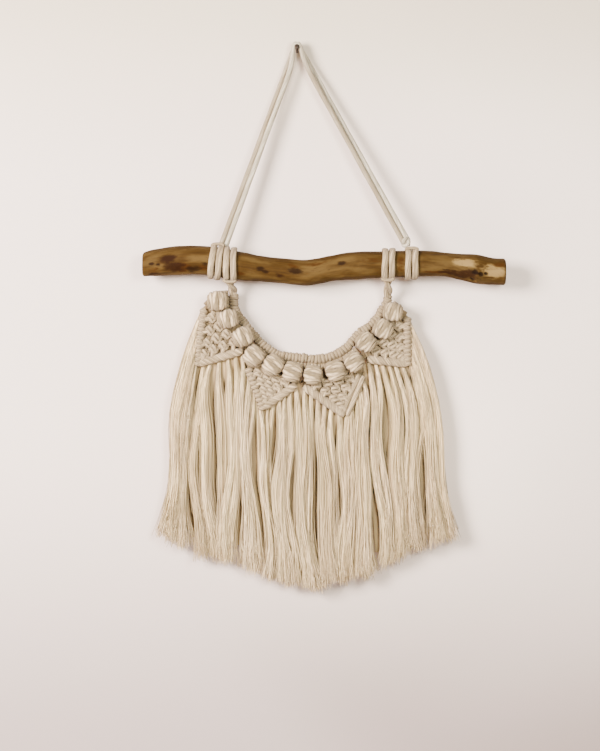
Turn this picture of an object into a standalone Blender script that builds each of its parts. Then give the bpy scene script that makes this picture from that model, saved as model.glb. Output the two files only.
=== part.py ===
"""Macrame wall hanging on a driftwood branch, with the nail that holds it.

Metres, +Z up. The wall is the plane y = 0 and everything hangs in front of it, towards -Y. The
origin is the middle of the nail's end where it enters the wall. A doubled cord runs from the branch
up over the nail and down again, and a knotted collar with four pennants and a combed fringe hangs
below the branch on a neck cord.
"""
import math

import bmesh
import bpy
from mathutils import Vector

for thing in list(bpy.data.objects):
    bpy.data.objects.remove(thing, do_unlink=True)

MM = 0.001
GAP = 0.3 * MM

# Single-strand cotton cord, about 5 mm, drawn thinner where it is taut and flat where it wraps.
TAUT_RADIUS = 2.25 * MM
TAUT_SPACING = 4.9 * MM
TAUT_FLATTENING = 0.25
BEARING_GAP = 0.7 * MM
BEARING_SPREAD = 7.0 * MM
BEARING_BULGE = 0.04
WRAP_HALF_WIDTH = 2.5 * MM
WRAP_HALF_THICK = 1.9 * MM
WRAP_STEPS = 14
CORD_SIDES = 6

# Nail, driven so that its head stands a little higher than its shaft at the wall.
NAIL_RADIUS = 1.0 * MM
NAIL_HEAD_RADIUS = 2.0 * MM
NAIL_HEAD_THICK = 0.9 * MM
NAIL_REACH = 12.4 * MM
NAIL_RISE = math.radians(16)
NAIL_SIDES = 10

# Branch: its middle line and radius from the left end to the right one, in millimetres.
BRANCH_DEPTH = -18.6 * MM
BRANCH_SIDES = 12
BRANCH_BEVEL = 1.6 * MM
BRANCH_CLEAR = 0.7 * MM
BRANCH_STATIONS = [  # x, z, radius
    (-128.0, -177.4, 9.6),
    (-117.2, -176.2, 11.0),
    (-97.2, -174.9, 12.1),
    (-73.0, -175.1, 12.2),
    (-55.0, -178.4, 12.6),
    (-30.7, -182.0, 11.0),
    (-10.8, -184.1, 10.5),
    (9.1, -185.4, 10.6),
    (29.1, -181.6, 10.4),
    (49.0, -179.1, 11.1),
    (75.0, -178.2, 10.6),
    (102.2, -177.8, 10.8),
    (122.2, -178.7, 10.2),
    (135.5, -180.7, 11.2),
    (148.7, -182.4, 12.5),
    (162.0, -184.1, 11.4),
    (172.8, -184.5, 11.2),
]
BRANCH_LUMPS = [  # x, angle from the top towards the front, rise, spread along, spread round
    (149.0, 125.0, 1.6, 5.0, 28.0),
    (-2.0, 95.0, 0.5, 6.0, 25.0),
    (-122.0, 80.0, -0.5, 5.0, 30.0),
]

# Lark's heads on the branch: the middle of each pair of turns and how far it leans to the right.
HANGER_HEADS = [  # x, lean, in millimetres
    (-68.3, 1.2),
    (94.8, 0.0),
]
NECK_HEADS = [  # x, lean, in millimetres
    (-55.6, 0.8),
    (76.2, 0.9),
]
HEAD_SPACING = 5.8 * MM

# The cord's own fold, which holds a pair of turns: its place from the top towards the front.
TOP_FOLD_ANGLE = math.radians(24)
LOW_FOLD_ANGLE = math.radians(158)
FOLD_RISE = 1.6 * WRAP_HALF_THICK
FOLD_HALF_LENGTH = 0.62 * HEAD_SPACING + WRAP_HALF_WIDTH

# Hanger: its two strands bear side by side on the nail and run down as a pair at each side.
BEARINGS = (3.5 * MM, 8.5 * MM)  # how far from the wall each strand crosses the nail
SHOULDER_REACH = 2.6 * MM
SHOULDER_DROP = 1.2 * MM
PAIRING_LENGTH = 24.0 * MM
PAIRING_SHARE = 0.9
FOOT_LENGTH = 6.0 * MM
FOOT_DEPTH = BRANCH_DEPTH - 1.0 * MM
LEFT_FOOT_SHIFT = Vector((2.0 * MM, 0, 0.6 * MM))

# Round stopper knot where the hanger is tied off at the right.
STOPPER = Vector((90.2 * MM, BRANCH_DEPTH - 4.0 * MM, -158.2 * MM))
STOPPER_RADIUS = 5.4 * MM
STOPPER_HALF_DEPTH = 4.86 * MM
STOPPER_ROWS = 7
STOPPER_COLUMNS = 10

# Twelve berry knots along the collar, three to a pennant, from the left arm to the right one.
BERRY_RADIUS = 8.0 * MM
BERRY_HALF_DEPTH = 6.8 * MM
BERRY_DEPTH = -17.4 * MM
BERRY_ROWS = 7
BERRY_COLUMNS = 12
BERRY_RIDGES = 6
BERRY_RIDGE_SHARE = 0.04
BERRIES = [  # x, z, in millimetres
    (-66.1, -208.6),
    (-56.8, -223.5),
    (-44.9, -238.5),
    (-35.7, -254.3),
    (-19.9, -261.8),
    (-3.8, -267.6),
    (13.3, -270.1),
    (32.0, -266.7),
    (47.4, -259.3),
    (57.3, -242.6),
    (71.5, -231.8),
    (79.8, -217.7),
]
BERRIES_PER_PENNANT = 3

# Collar rim: lark's heads side by side on the neck cord, which passes just behind the berries.
RIM_HALF_WIDTH = 3.5 * MM
RIM_HALF_DEPTH = 3.6 * MM
RIM_DEPTH = -9.0 * MM
RIM_RIDGES = 40
RIM_STEPS = 5
RIM_RIDGE_RISE = 0.45 * MM
RIM_END_SHARE = 0.62
RIM_TAPER_STEP = 0.10
NECK_ROUTE = [  # x, z, in millimetres, from the left arm round the hollow to the right arm
    (-51.9, -201.9),
    (-52.8, -208.6),
    (-50.7, -217.7),
    (-41.4, -230.0),
    (-31.0, -242.3),
    (-17.5, -252.5),
    (-5.8, -254.9),
    (5.8, -255.8),
    (17.5, -256.8),
    (29.9, -253.9),
    (41.6, -247.0),
    (51.5, -235.6),
    (58.6, -231.0),
    (66.9, -222.7),
    (71.5, -215.2),
    (74.8, -209.4),
    (76.0, -203.4),
]
HOLLOW_MIDDLE = Vector((12.5 * MM, RIM_DEPTH, -203.0 * MM))
ARM_RADIUS = 2.1 * MM
ARM_TWIST_RADIUS = 1.7 * MM
ARM_TURNS = 0.75
ARM_STEPS = 6

# Pennants: a V of two clove-hitch bars that meet at the tip, with square knots inside.
BAR_RADIUS = 3.3 * MM
BAR_RIDGES = 6
BAR_RIDGE_RISE = 0.35 * MM
BAR_SIDES = 8
BAR_END_SHARE = 0.75
BAR_DEPTH = -11.4 * MM
PENNANTS = [  # left bar's start, tip, right bar's start, each x and z in millimetres
    ((-77.2, -214.4), (-83.1, -260.9), (-44.9, -249.9)),
    ((-40.7, -264.2), (-28.3, -297.5), (-0.8, -278.0)),
    ((5.6, -279.4), (39.9, -303.3), (53.6, -270.1)),
    ((58.2, -257.0), (92.2, -260.9), (91.4, -221.7)),
]
SQUARE_KNOT_HALF_WIDTH = 5.0 * MM
SQUARE_KNOT_HALF_DEPTH = 4.4 * MM
SQUARE_KNOT_FIT = 0.95
SQUARE_KNOT_SQUASH = 0.9
SQUARE_KNOT_ROWS = 5
SQUARE_KNOT_COLUMNS = 8
SQUARE_KNOT_RIDGES = 4
SQUARE_KNOT_RIDGE_SHARE = 0.05
UPPER_KNOT_DROP = 11.5 * MM
LOWER_KNOT_SHARE = 0.62
STRAND_RADIUS = 2.1 * MM
STRAND_SIDES = 5
LEAD_HALF_WIDTH = 4.5 * MM
LEAD_TAIL = 3.5 * MM
STRAND_TAIL = 2.0 * MM
STRAND_PLACES = (0.22, 0.52, 0.84)  # where strands reach a bar, as shares of its length

# Fringe: every strand below its bar is combed out into one lock, in a front and a back row.
LOCKS_PER_BAR = 6
LOCK_STATIONS = 7
LOCK_HALF_WIDTH = 4.0 * MM
LOCK_HALF_DEPTH = 2.5 * MM
ROOT_HALF_WIDTH = 2.1 * MM
ROOT_HALF_DEPTH = 1.9 * MM
FRONT_ROW_DEPTH = -15.4 * MM
BACK_ROW_DEPTH = -7.2 * MM
FRINGE_MIDDLE = 8.0 * MM
FRINGE_HALF_WIDTH = 120.0 * MM
FRINGE_LOW = -447.0 * MM
FRINGE_SIDE_RISE = 42.0 * MM
FRINGE_DRAW_IN = 0.90
FRINGE_HEM_POWER = 1.4
LOCK_BUNCHING = 1.35
SETTLE_DROP = 66.0 * MM
WIDEN_DROP = 39.6 * MM
ROW_DROP = 9.0 * MM

# Small differences from lock to lock.
LOCK_SWAY = 1.0 * MM
SWAY_STEP = 0.4
SWAY_WAVES = 5
LOCK_UNEVENNESS = 0.06
UNEVENNESS_STEP = 2.7
RAGGEDNESS = 3.0 * MM
RAGGEDNESS_STEP = 2.4

SHARP_EDGE = math.radians(50)

FRONT = Vector((0, -1, 0))
ALONG_BRANCH = Vector((1, 0, 0))


def finish(name, colour, roughness, metallic=0.0):
    """A plain material for one kind of piece."""
    material = bpy.data.materials.new(name)
    material.use_nodes = True
    shader = material.node_tree.nodes["Principled BSDF"]
    shader.inputs["Base Color"].default_value = (*colour, 1)
    shader.inputs["Roughness"].default_value = roughness
    shader.inputs["Metallic"].default_value = metallic
    return material


COTTON = finish("cotton_cord", (0.74, 0.66, 0.54), 0.9)
KNOTTED_COTTON = finish("cotton_knots", (0.72, 0.62, 0.50), 0.9)
COMBED_COTTON = finish("combed_cotton", (0.76, 0.67, 0.53), 0.85)
DRIFTWOOD = finish("driftwood", (0.26, 0.13, 0.05), 0.6)
NAIL_STEEL = finish("nail_steel", (0.05, 0.045, 0.04), 0.45, 0.8)


def spline(points, steps):
    """Points on a smooth curve through the given ones, `steps` to each stretch."""
    padded = [2 * points[0] - points[1], *points, 2 * points[-1] - points[-2]]
    curve = []
    for index in range(1, len(padded) - 2):
        before, start, end, after = padded[index - 1:index + 3]
        for step in range(steps):
            t = step / steps
            curve.append(0.5 * (2 * start + (end - before) * t
                                + (2 * before - 5 * start + 4 * end - after) * t ** 2
                                + (3 * start - before - 3 * end + after) * t ** 3))
    return [*curve, points[-1].copy()]


def sweep(path, widths, depths, facing, sides, closed=False):
    """Rings of points along a path; a depth is measured towards `facing`."""
    rings = []
    last = len(path) - 1
    for index, point in enumerate(path):
        before = path[index - 1] if closed or index > 0 else point
        after = path[(index + 1) % len(path)] if closed or index < last else point
        along = (after - before).normalized()
        side = along.cross(facing).normalized()
        out = side.cross(along)
        ring = []
        for corner in range(sides):
            angle = math.tau * corner / sides
            ring.append(point + side * widths[index] * math.cos(angle)
                        + out * depths[index] * math.sin(angle))
        rings.append(ring)
    return rings


def loft(name, rings, closed=False):
    """A closed body through the rings, capped at both ends unless it closes on itself."""
    mesh = bmesh.new()
    rows = [[mesh.verts.new(point) for point in ring] for ring in rings]
    sides = len(rings[0])
    pairs = list(zip(rows, rows[1:]))
    if closed:
        pairs.append((rows[-1], rows[0]))
    else:
        mesh.faces.new(rows[0])
        mesh.faces.new(rows[-1])
    for lower, upper in pairs:
        for corner in range(sides):
            beside = (corner + 1) % sides
            mesh.faces.new((lower[corner], lower[beside], upper[beside], upper[corner]))
    bmesh.ops.recalc_face_normals(mesh, faces=mesh.faces)
    return place(name, mesh)


def place(name, mesh):
    """An object in the scene from a bmesh."""
    data = bpy.data.meshes.new(name)
    mesh.to_mesh(data)
    mesh.free()
    thing = bpy.data.objects.new(name, data)
    bpy.context.scene.collection.objects.link(thing)
    return thing


def cord(name, path, radius, sides=CORD_SIDES):
    """A round cord along a path."""
    radii = [radius] * len(path)
    return loft(name, sweep(path, radii, radii, FRONT, sides))


def fuse(name, pieces, material):
    """One solid from overlapping pieces, which are used up."""
    base = pieces[0]
    others = bpy.data.collections.new(name + "_pieces")
    bpy.context.scene.collection.children.link(others)
    for piece in pieces[1:]:
        others.objects.link(piece)
    union = base.modifiers.new("fuse", 'BOOLEAN')
    union.operation = 'UNION'
    union.solver = 'EXACT'
    union.operand_type = 'COLLECTION'
    union.collection = others
    bpy.context.view_layer.update()
    evaluated = base.evaluated_get(bpy.context.evaluated_depsgraph_get())
    data = bpy.data.meshes.new_from_object(evaluated)
    for piece in pieces:
        bpy.data.objects.remove(piece, do_unlink=True)
    bpy.data.collections.remove(others)
    thing = bpy.data.objects.new(name, data)
    bpy.context.scene.collection.objects.link(thing)
    return dress(thing, material)


def dress(thing, material):
    """Gives a finished piece its material and rounded shading."""
    thing.data.materials.clear()
    thing.data.materials.append(material)
    thing.data.shade_smooth()
    thing.data.set_sharp_from_angle(angle=SHARP_EDGE)
    return thing


def in_front(pair, depth):
    """A point at a depth from a pair of x and z in millimetres."""
    return Vector((pair[0] * MM, depth, pair[1] * MM))


def ridged(count, index, stations):
    """A ridge height from 0 to 1 at a station of a row of ridges."""
    return 0.5 - 0.5 * math.cos(math.tau * count * index / (stations - 1))


def make_nail():
    """The nail outside the wall: its wall end is cut flush with the wall plane."""
    axis = Vector((0, -math.cos(NAIL_RISE), math.sin(NAIL_RISE)))
    up = Vector((0, math.sin(NAIL_RISE), math.cos(NAIL_RISE)))
    head_start = NAIL_REACH - NAIL_HEAD_THICK
    profile = [  # distance along the nail, radius
        (head_start, NAIL_RADIUS),
        (head_start, NAIL_HEAD_RADIUS),
        (NAIL_REACH - 0.3 * NAIL_HEAD_THICK, NAIL_HEAD_RADIUS),
        (NAIL_REACH, 0.7 * NAIL_HEAD_RADIUS),
    ]
    turns = [math.tau * corner / NAIL_SIDES for corner in range(NAIL_SIDES)]
    rings = [[Vector((NAIL_RADIUS * math.cos(turn), 0, NAIL_RADIUS * math.sin(turn) / up.z))
              for turn in turns]]
    for distance, radius in profile:
        rings.append([axis * distance + Vector((radius * math.cos(turn), 0, 0))
                      + up * radius * math.sin(turn) for turn in turns])
    dress(loft("nail", rings), NAIL_STEEL)


BRANCH_CURVE = spline([Vector(station) * MM for station in BRANCH_STATIONS], 2)


def branch_at(x):
    """The branch's middle height and mean radius at x."""
    for start, end in zip(BRANCH_CURVE, BRANCH_CURVE[1:]):
        if x <= end.x:
            break
    share = (x - start.x) / (end.x - start.x)
    there = start.lerp(end, share)
    return there.y, there.z


def branch_swell(x, turn):
    """How far the bark line stands out from the mean radius, at x and an angle from the top."""
    swell = 0.35 * math.sin(2 * turn + 31 * x) + 0.25 * math.sin(3 * turn - 47 * x + 1)
    for lump_x, lump_turn, rise, spread_x, spread_turn in BRANCH_LUMPS:
        away = (x / MM - lump_x) / spread_x
        round_away = math.degrees(math.remainder(turn - math.radians(lump_turn), math.tau)) / spread_turn
        swell += rise * math.exp(-away ** 2 - round_away ** 2)
    return swell * MM


def make_branch():
    """A peeled driftwood stick, sawn off at both ends."""
    rings = []
    for index, station in enumerate(BRANCH_CURVE):
        at_end = index in (0, len(BRANCH_CURVE) - 1)
        ring = []
        for corner in range(BRANCH_SIDES):
            turn = math.tau * corner / BRANCH_SIDES
            radius = station.z + branch_swell(station.x, turn) - (BRANCH_BEVEL if at_end else 0)
            ring.append(Vector((station.x, BRANCH_DEPTH - radius * math.sin(turn),
                                station.y + radius * math.cos(turn))))
        rings.append(ring)
    for end, inner, way in ((0, 1, 1), (-1, -2, -1)):
        rings[inner] = [Vector((tip.x + way * BRANCH_BEVEL, point.y, point.z))
                        for tip, point in zip(rings[end], rings[inner])]
    dress(loft("branch", rings), DRIFTWOOD)


def wrap_radius(x):
    """The radius of a cord's middle line round the branch at x."""
    reach = max(branch_at(near)[1] + branch_swell(near, math.radians(turn))
                for near in (x - WRAP_HALF_WIDTH, x, x + WRAP_HALF_WIDTH)
                for turn in range(0, 360, 15))
    return reach + BRANCH_CLEAR + WRAP_HALF_THICK


def branch_wrap(name, x, lean):
    """One turn of cord round the branch; it leans to the right towards the top."""
    radius = wrap_radius(x)
    middle = branch_at(x)[0]
    path = []
    for step in range(WRAP_STEPS):
        turn = math.tau * step / WRAP_STEPS
        path.append(Vector((x + lean * math.cos(turn), BRANCH_DEPTH - radius * math.sin(turn),
                            middle + radius * math.cos(turn))))
    thick = [WRAP_HALF_THICK] * WRAP_STEPS
    wide = [WRAP_HALF_WIDTH / math.sin(math.tau / CORD_SIDES)] * WRAP_STEPS
    return loft(name, sweep(path, thick, wide, ALONG_BRANCH, CORD_SIDES, True), True)


def larks_head(x, lean, fold_turn):
    """Two turns of cord side by side, held by the cord's own fold across them."""
    pieces = [branch_wrap("wrap", x + side * HEAD_SPACING / 2, lean) for side in (-1, 1)]
    radius = wrap_radius(x) + FOLD_RISE
    middle = Vector((x + lean * math.cos(fold_turn), BRANCH_DEPTH - radius * math.sin(fold_turn),
                     branch_at(x)[0] + radius * math.cos(fold_turn)))
    end = ALONG_BRANCH * FOLD_HALF_LENGTH
    sink = Vector((0, math.sin(fold_turn), -math.cos(fold_turn))) * WRAP_HALF_THICK
    path = spline([middle - end + sink, middle - end / 2, middle + end / 2, middle + end + sink], 2)
    return [*pieces, cord("fold", path, WRAP_HALF_THICK)]


def leg_points(top, foot, way, side):
    """One strand of a leg, from the nail's shoulder down to the branch."""
    leg = (foot - top).normalized()
    across = leg.cross(FRONT).normalized() * way * side * TAUT_SPACING / 2
    shoulder = top + Vector((way * SHOULDER_REACH, 0, -SHOULDER_DROP))
    paired = top + leg * PAIRING_LENGTH + across * PAIRING_SHARE
    low = foot - leg * FOOT_LENGTH + across
    return [shoulder, paired, paired.lerp(low, 1 / 3), paired.lerp(low, 2 / 3), low, foot + across]


def make_hanger():
    """The doubled cord over the nail, with a lark's head on the branch at each side."""
    pieces = []
    for x, lean in HANGER_HEADS:
        pieces += larks_head(x * MM, lean * MM, TOP_FOLD_ANGLE)
    x, lean = HANGER_HEADS[0]
    foot_height = branch_at(x * MM)[0] + wrap_radius(x * MM)
    left = Vector(((x + lean) * MM, FOOT_DEPTH, foot_height)) + LEFT_FOOT_SHIFT
    saddle = (NAIL_RADIUS + BEARING_GAP + (1 - TAUT_FLATTENING) * TAUT_RADIUS) / math.cos(NAIL_RISE)
    for side, from_wall in zip((-1, 1), BEARINGS):
        top = Vector((0, -from_wall, from_wall * math.tan(NAIL_RISE) + saddle))
        path = [*leg_points(top, left, -1, side)[::-1], top, *leg_points(top, STOPPER, 1, side)]
        pieces.append(taut_strand(spline(path, 2), top))
    radii = (STOPPER_RADIUS, STOPPER_HALF_DEPTH, STOPPER_RADIUS)
    pieces.append(ball("stopper", STOPPER, radii, STOPPER_ROWS, STOPPER_COLUMNS))
    return fuse("hanger_cord", pieces, COTTON)


def taut_strand(path, top):
    """A taut cord that flattens where it bears on the nail."""
    widths = []
    depths = []
    for point in path:
        bearing = math.exp(-((point - top).length / BEARING_SPREAD) ** 2)
        widths.append(TAUT_RADIUS * (1 - TAUT_FLATTENING * bearing))
        depths.append(TAUT_RADIUS * (1 + BEARING_BULGE * bearing))
    return loft("strand", sweep(path, widths, depths, FRONT, CORD_SIDES))


def ball(name, middle, radii, rows, columns, ridges=0, ridge_share=0.0, up=Vector((0, 0, 1))):
    """A rounded knot: radii across, in depth and along `up`, with upright ridges if asked for."""
    across = up.cross(FRONT).normalized()
    mesh = bmesh.new()
    bmesh.ops.create_uvsphere(mesh, u_segments=columns, v_segments=rows, radius=1)
    for vertex in mesh.verts:
        unit = vertex.co.copy()
        turn = math.atan2(unit.y, unit.x)
        flat = math.hypot(unit.x, unit.y)
        swell = 1 + ridge_share * flat * math.cos(ridges * turn)
        vertex.co = (middle + across * unit.x * radii[0] * swell + FRONT * unit.y * radii[1] * swell
                     + up * unit.z * radii[2])
    bmesh.ops.recalc_face_normals(mesh, faces=mesh.faces)
    return place(name, mesh)


RIM_LINE = spline([in_front(pair, RIM_DEPTH) for pair in NECK_ROUTE], RIM_STEPS)


def twisted_arm(start, end):
    """Two strands that twist round each other from the branch down to the rim."""
    strands = []
    along = (end - start).normalized()
    side = along.cross(FRONT).normalized()
    out = side.cross(along)
    for half in (0, math.pi):
        path = []
        for step in range(ARM_STEPS + 1):
            share = step / ARM_STEPS
            angle = half + math.tau * ARM_TURNS * share
            swing = side * math.cos(angle) + out * math.sin(angle)
            path.append(start.lerp(end, share) + swing * ARM_TWIST_RADIUS)
        strands.append(cord("arm", path, ARM_RADIUS))
    return strands


def make_neck():
    """The neck cord: lark's heads on the branch, twisted arms, and the ridged rim of the collar."""
    pieces = []
    arms = []
    for x, lean in NECK_HEADS:
        pieces += larks_head(x * MM, lean * MM, LOW_FOLD_ANGLE)
        arms.append(Vector((x * MM, FOOT_DEPTH, branch_at(x * MM)[0] - wrap_radius(x * MM))))
    ridge_rows = len(RIM_LINE)
    widths = []
    depths = []
    for index in range(ridge_rows):
        rise = RIM_RIDGE_RISE * ridged(RIM_RIDGES, index, ridge_rows)
        taper = min(1, RIM_END_SHARE + RIM_TAPER_STEP * min(index, ridge_rows - 1 - index))
        widths.append(RIM_HALF_WIDTH * taper + rise)
        depths.append(RIM_HALF_DEPTH * taper + rise)
    pieces.append(loft("rim", sweep(RIM_LINE, widths, depths, FRONT, CORD_SIDES)))
    for arm, rim_end in zip(arms, (RIM_LINE[1], RIM_LINE[-2])):
        pieces += twisted_arm(arm, rim_end)
    return fuse("neck_cord", pieces, COTTON)


def lead_to_rim(berry):
    """The strands above a berry, up to just short of the rim that they hang from."""
    nearest = min(RIM_LINE, key=lambda point: math.hypot(point.x - berry.x, point.z - berry.z))
    heading = Vector((nearest.x - berry.x, 0, nearest.z - berry.z))
    reach = heading.length - RIM_HALF_WIDTH - RIM_RIDGE_RISE - 2 * GAP
    heading.normalize()
    path = [berry - heading * LEAD_TAIL, berry + heading * reach]
    rings = sweep(path, [LEAD_HALF_WIDTH] * 2, [STRAND_RADIUS] * 2, FRONT, CORD_SIDES)
    return loft("lead", rings)


def distance_to_line(point, start, end):
    """How far a point lies from the line through two others."""
    along = (end - start).normalized()
    return (point - start).cross(along).length


def short_of_bar(source, target, along_bar):
    """Where a strand that heads for a point in a bar stops, clear of the bar's side."""
    heading = (target - source).normalized()
    slant = abs(heading.dot(along_bar))
    clear = BAR_RADIUS + BAR_RIDGE_RISE + GAP + STRAND_RADIUS * slant
    return target - heading * clear / math.sqrt(1 - slant ** 2)


def strand(start, end):
    """A straight strand that starts a little behind the middle of a knot."""
    tail = (start - end).normalized() * STRAND_TAIL
    return cord("strand", [start + tail, end], STRAND_RADIUS, STRAND_SIDES)


def berry_knot(middle, flat):
    """A berry knot, whose ridges run away from the middle of the collar's hollow."""
    radii = (BERRY_RADIUS, BERRY_HALF_DEPTH, BERRY_RADIUS)
    return ball("berry", middle, radii, BERRY_ROWS, BERRY_COLUMNS, BERRY_RIDGES, BERRY_RIDGE_SHARE,
                (HOLLOW_MIDDLE - flat).normalized())


def square_knot(middle, bars, fall):
    """A square knot, made small enough to lie clear of the lines of both bars."""
    room = min(distance_to_line(middle, start, end) for start, end in bars)
    half = min(SQUARE_KNOT_HALF_WIDTH, SQUARE_KNOT_FIT * (room - BAR_RADIUS - BAR_RIDGE_RISE - GAP))
    radii = (half, SQUARE_KNOT_HALF_DEPTH, SQUARE_KNOT_SQUASH * half)
    return ball("square_knot", middle, radii, SQUARE_KNOT_ROWS, SQUARE_KNOT_COLUMNS, SQUARE_KNOT_RIDGES,
                SQUARE_KNOT_RIDGE_SHARE, -fall)


def make_pennant(name, berries, corners):
    """Three berry knots and the square knots and strands below them, up to the bars."""
    middles = [in_front(pair, BERRY_DEPTH) for pair in berries]
    flat = [in_front(pair, BAR_DEPTH) for pair in berries]
    left, tip, right = (in_front(pair, BAR_DEPTH) for pair in corners)
    fall = (tip - flat[1]).normalized()
    pieces = [berry_knot(middle, point) for middle, point in zip(middles, flat)]
    pieces += [lead_to_rim(point) for point in flat]
    upper = [start.lerp(end, 0.5) + fall * UPPER_KNOT_DROP for start, end in zip(flat, flat[1:])]
    lower = flat[1].lerp(tip, LOWER_KNOT_SHARE)
    pieces += [square_knot(middle, ((left, tip), (right, tip)), fall) for middle in (*upper, lower)]
    for start, end in ((flat[0], upper[0]), (flat[1], upper[0]), (flat[1], upper[1]), (flat[2], upper[1]),
                       (upper[0], lower), (upper[1], lower)):
        pieces.append(strand(start, end))
    for bar_start, sources in ((left, (flat[0], upper[0], lower)), (right, (flat[2], upper[1], lower))):
        for share, source in zip(STRAND_PLACES, sources):
            stop = short_of_bar(source, bar_start.lerp(tip, share), (tip - bar_start).normalized())
            pieces.append(strand(source, stop))
    return fuse(name, pieces, KNOTTED_COTTON)


def ridged_bar(start, end):
    """A row of clove hitches: a cord with a ridge for each turn."""
    stations = 2 * BAR_RIDGES + 1
    path = []
    radii = []
    for index in range(stations):
        path.append(start.lerp(end, index / (stations - 1)))
        radii.append(BAR_RADIUS + BAR_RIDGE_RISE * ridged(BAR_RIDGES, index, stations))
    radii[0] *= BAR_END_SHARE
    return loft("bar", sweep(path, radii, radii, FRONT, BAR_SIDES))


def lock_end(order, count):
    """Where a lock's tip hangs: spread evenly, and lowest in the middle of the fringe."""
    share = 2 * (order + 0.5) / count - 1
    ragged = RAGGEDNESS * abs(math.sin(RAGGEDNESS_STEP * order))
    low = FRINGE_LOW + FRINGE_SIDE_RISE * abs(share) ** FRINGE_HEM_POWER + ragged
    return Vector((FRINGE_MIDDLE + share * FRINGE_HALF_WIDTH, 0, low))


def fringe_lock(root, order, count):
    """One combed lock, from the middle of its bar down to its cut end."""
    tip = lock_end(order, count)
    depth = FRONT_ROW_DEPTH if order % 2 else BACK_ROW_DEPTH
    full = LOCK_HALF_WIDTH * (1 - LOCK_UNEVENNESS * (1 + math.sin(UNEVENNESS_STEP * order)))
    path = []
    widths = []
    depths = []
    for station in range(LOCK_STATIONS):
        share = (station / (LOCK_STATIONS - 1)) ** LOCK_BUNCHING
        z = root.z + (tip.z - root.z) * share
        drop = root.z - z
        settle = 1 - (1 - min(1, drop / SETTLE_DROP)) ** 2
        flare = FRINGE_DRAW_IN + (1 - FRINGE_DRAW_IN) * share ** 3
        hang = FRINGE_MIDDLE + (tip.x - FRINGE_MIDDLE) * flare
        sway = LOCK_SWAY * math.sin(SWAY_STEP * order + SWAY_WAVES * share) * settle
        grown = min(1, drop / WIDEN_DROP)
        path.append(Vector((root.x + (hang - root.x) * settle + sway,
                            root.y + (depth - root.y) * min(1, drop / ROW_DROP), z)))
        widths.append(ROOT_HALF_WIDTH + (full - ROOT_HALF_WIDTH) * grown)
        depths.append(ROOT_HALF_DEPTH + (LOCK_HALF_DEPTH - ROOT_HALF_DEPTH) * grown)
    return loft("lock", sweep(path, widths, depths, FRONT, 4))


def make_fringe(name, corners, first, count):
    """The two bars of a pennant and the locks that drop from them."""
    left, tip, right = (in_front(pair, BAR_DEPTH) for pair in corners)
    pieces = [ridged_bar(left, tip), ridged_bar(right, tip)]
    for bar_start, bar_end, offset in ((left, tip, 0), (tip, right, LOCKS_PER_BAR)):
        for index in range(LOCKS_PER_BAR):
            root = bar_start.lerp(bar_end, (index + 0.5) / LOCKS_PER_BAR)
            pieces.append(fringe_lock(root, first + offset + index, count))
    return fuse(name, pieces, COMBED_COTTON)


make_nail()
make_branch()
make_hanger()
make_neck()
total_locks = 2 * LOCKS_PER_BAR * len(PENNANTS)
for number, pennant in enumerate(PENNANTS):
    own = BERRIES[number * BERRIES_PER_PENNANT:(number + 1) * BERRIES_PER_PENNANT]
    make_pennant(f"pennant_{number + 1}", own, pennant)
    make_fringe(f"fringe_{number + 1}", pennant, 2 * LOCKS_PER_BAR * number, total_locks)
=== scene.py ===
import math

import bpy
import numpy as np
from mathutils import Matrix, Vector, noise


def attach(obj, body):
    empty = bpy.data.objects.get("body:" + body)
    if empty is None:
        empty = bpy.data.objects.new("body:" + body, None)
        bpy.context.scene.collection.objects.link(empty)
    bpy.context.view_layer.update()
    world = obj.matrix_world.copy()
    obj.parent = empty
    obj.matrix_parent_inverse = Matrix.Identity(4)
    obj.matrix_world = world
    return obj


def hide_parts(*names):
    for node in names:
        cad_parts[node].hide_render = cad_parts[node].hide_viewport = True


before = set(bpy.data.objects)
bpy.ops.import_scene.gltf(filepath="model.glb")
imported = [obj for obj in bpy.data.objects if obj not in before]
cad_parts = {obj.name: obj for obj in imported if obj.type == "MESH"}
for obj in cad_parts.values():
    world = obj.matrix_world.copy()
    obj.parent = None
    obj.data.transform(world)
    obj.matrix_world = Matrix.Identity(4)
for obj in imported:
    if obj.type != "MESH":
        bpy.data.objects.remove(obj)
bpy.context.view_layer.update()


# ---- Nail -----------------------------------------------------------------------------------
# A small wire nail of dark, slightly rusty steel. It is driven a little upwards, so its stamped
# head stands higher than the hole, and the hanger's cord cannot slide off.
MM = 0.001
NAIL_RADIUS = 1.0 * MM
NAIL_RISE = math.radians(16)
NAIL_SIDES = 28
NAIL_PROFILE = [  # distance along the nail, radius, in millimetres
    (11.2, 1.0),
    (11.35, 1.15),
    (11.45, 1.5),
    (11.5, 1.92),
    (11.62, 2.0),
    (12.0, 2.0),
    (12.2, 1.9),
    (12.32, 1.5),
    (12.38, 0.8),
    (12.4, 0.2),
]


class Value:
    """A node's output. Sums and products of it add Math nodes to its own tree."""

    def __init__(self, graph, socket):
        self.graph = graph
        self.socket = socket

    def other(self, name):
        """Another output of the same node."""
        return Value(self.graph, self.socket.node.outputs[name])

    def __add__(self, term):
        return self.graph.math('ADD', self, term)

    def __sub__(self, term):
        return self.graph.math('SUBTRACT', self, term)

    def __rsub__(self, term):
        return self.graph.math('SUBTRACT', term, self)

    def __mul__(self, term):
        return self.graph.math('MULTIPLY', self, term)

    def __pow__(self, term):
        return self.graph.math('POWER', self, term)

    __radd__ = __add__
    __rmul__ = __mul__


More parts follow.
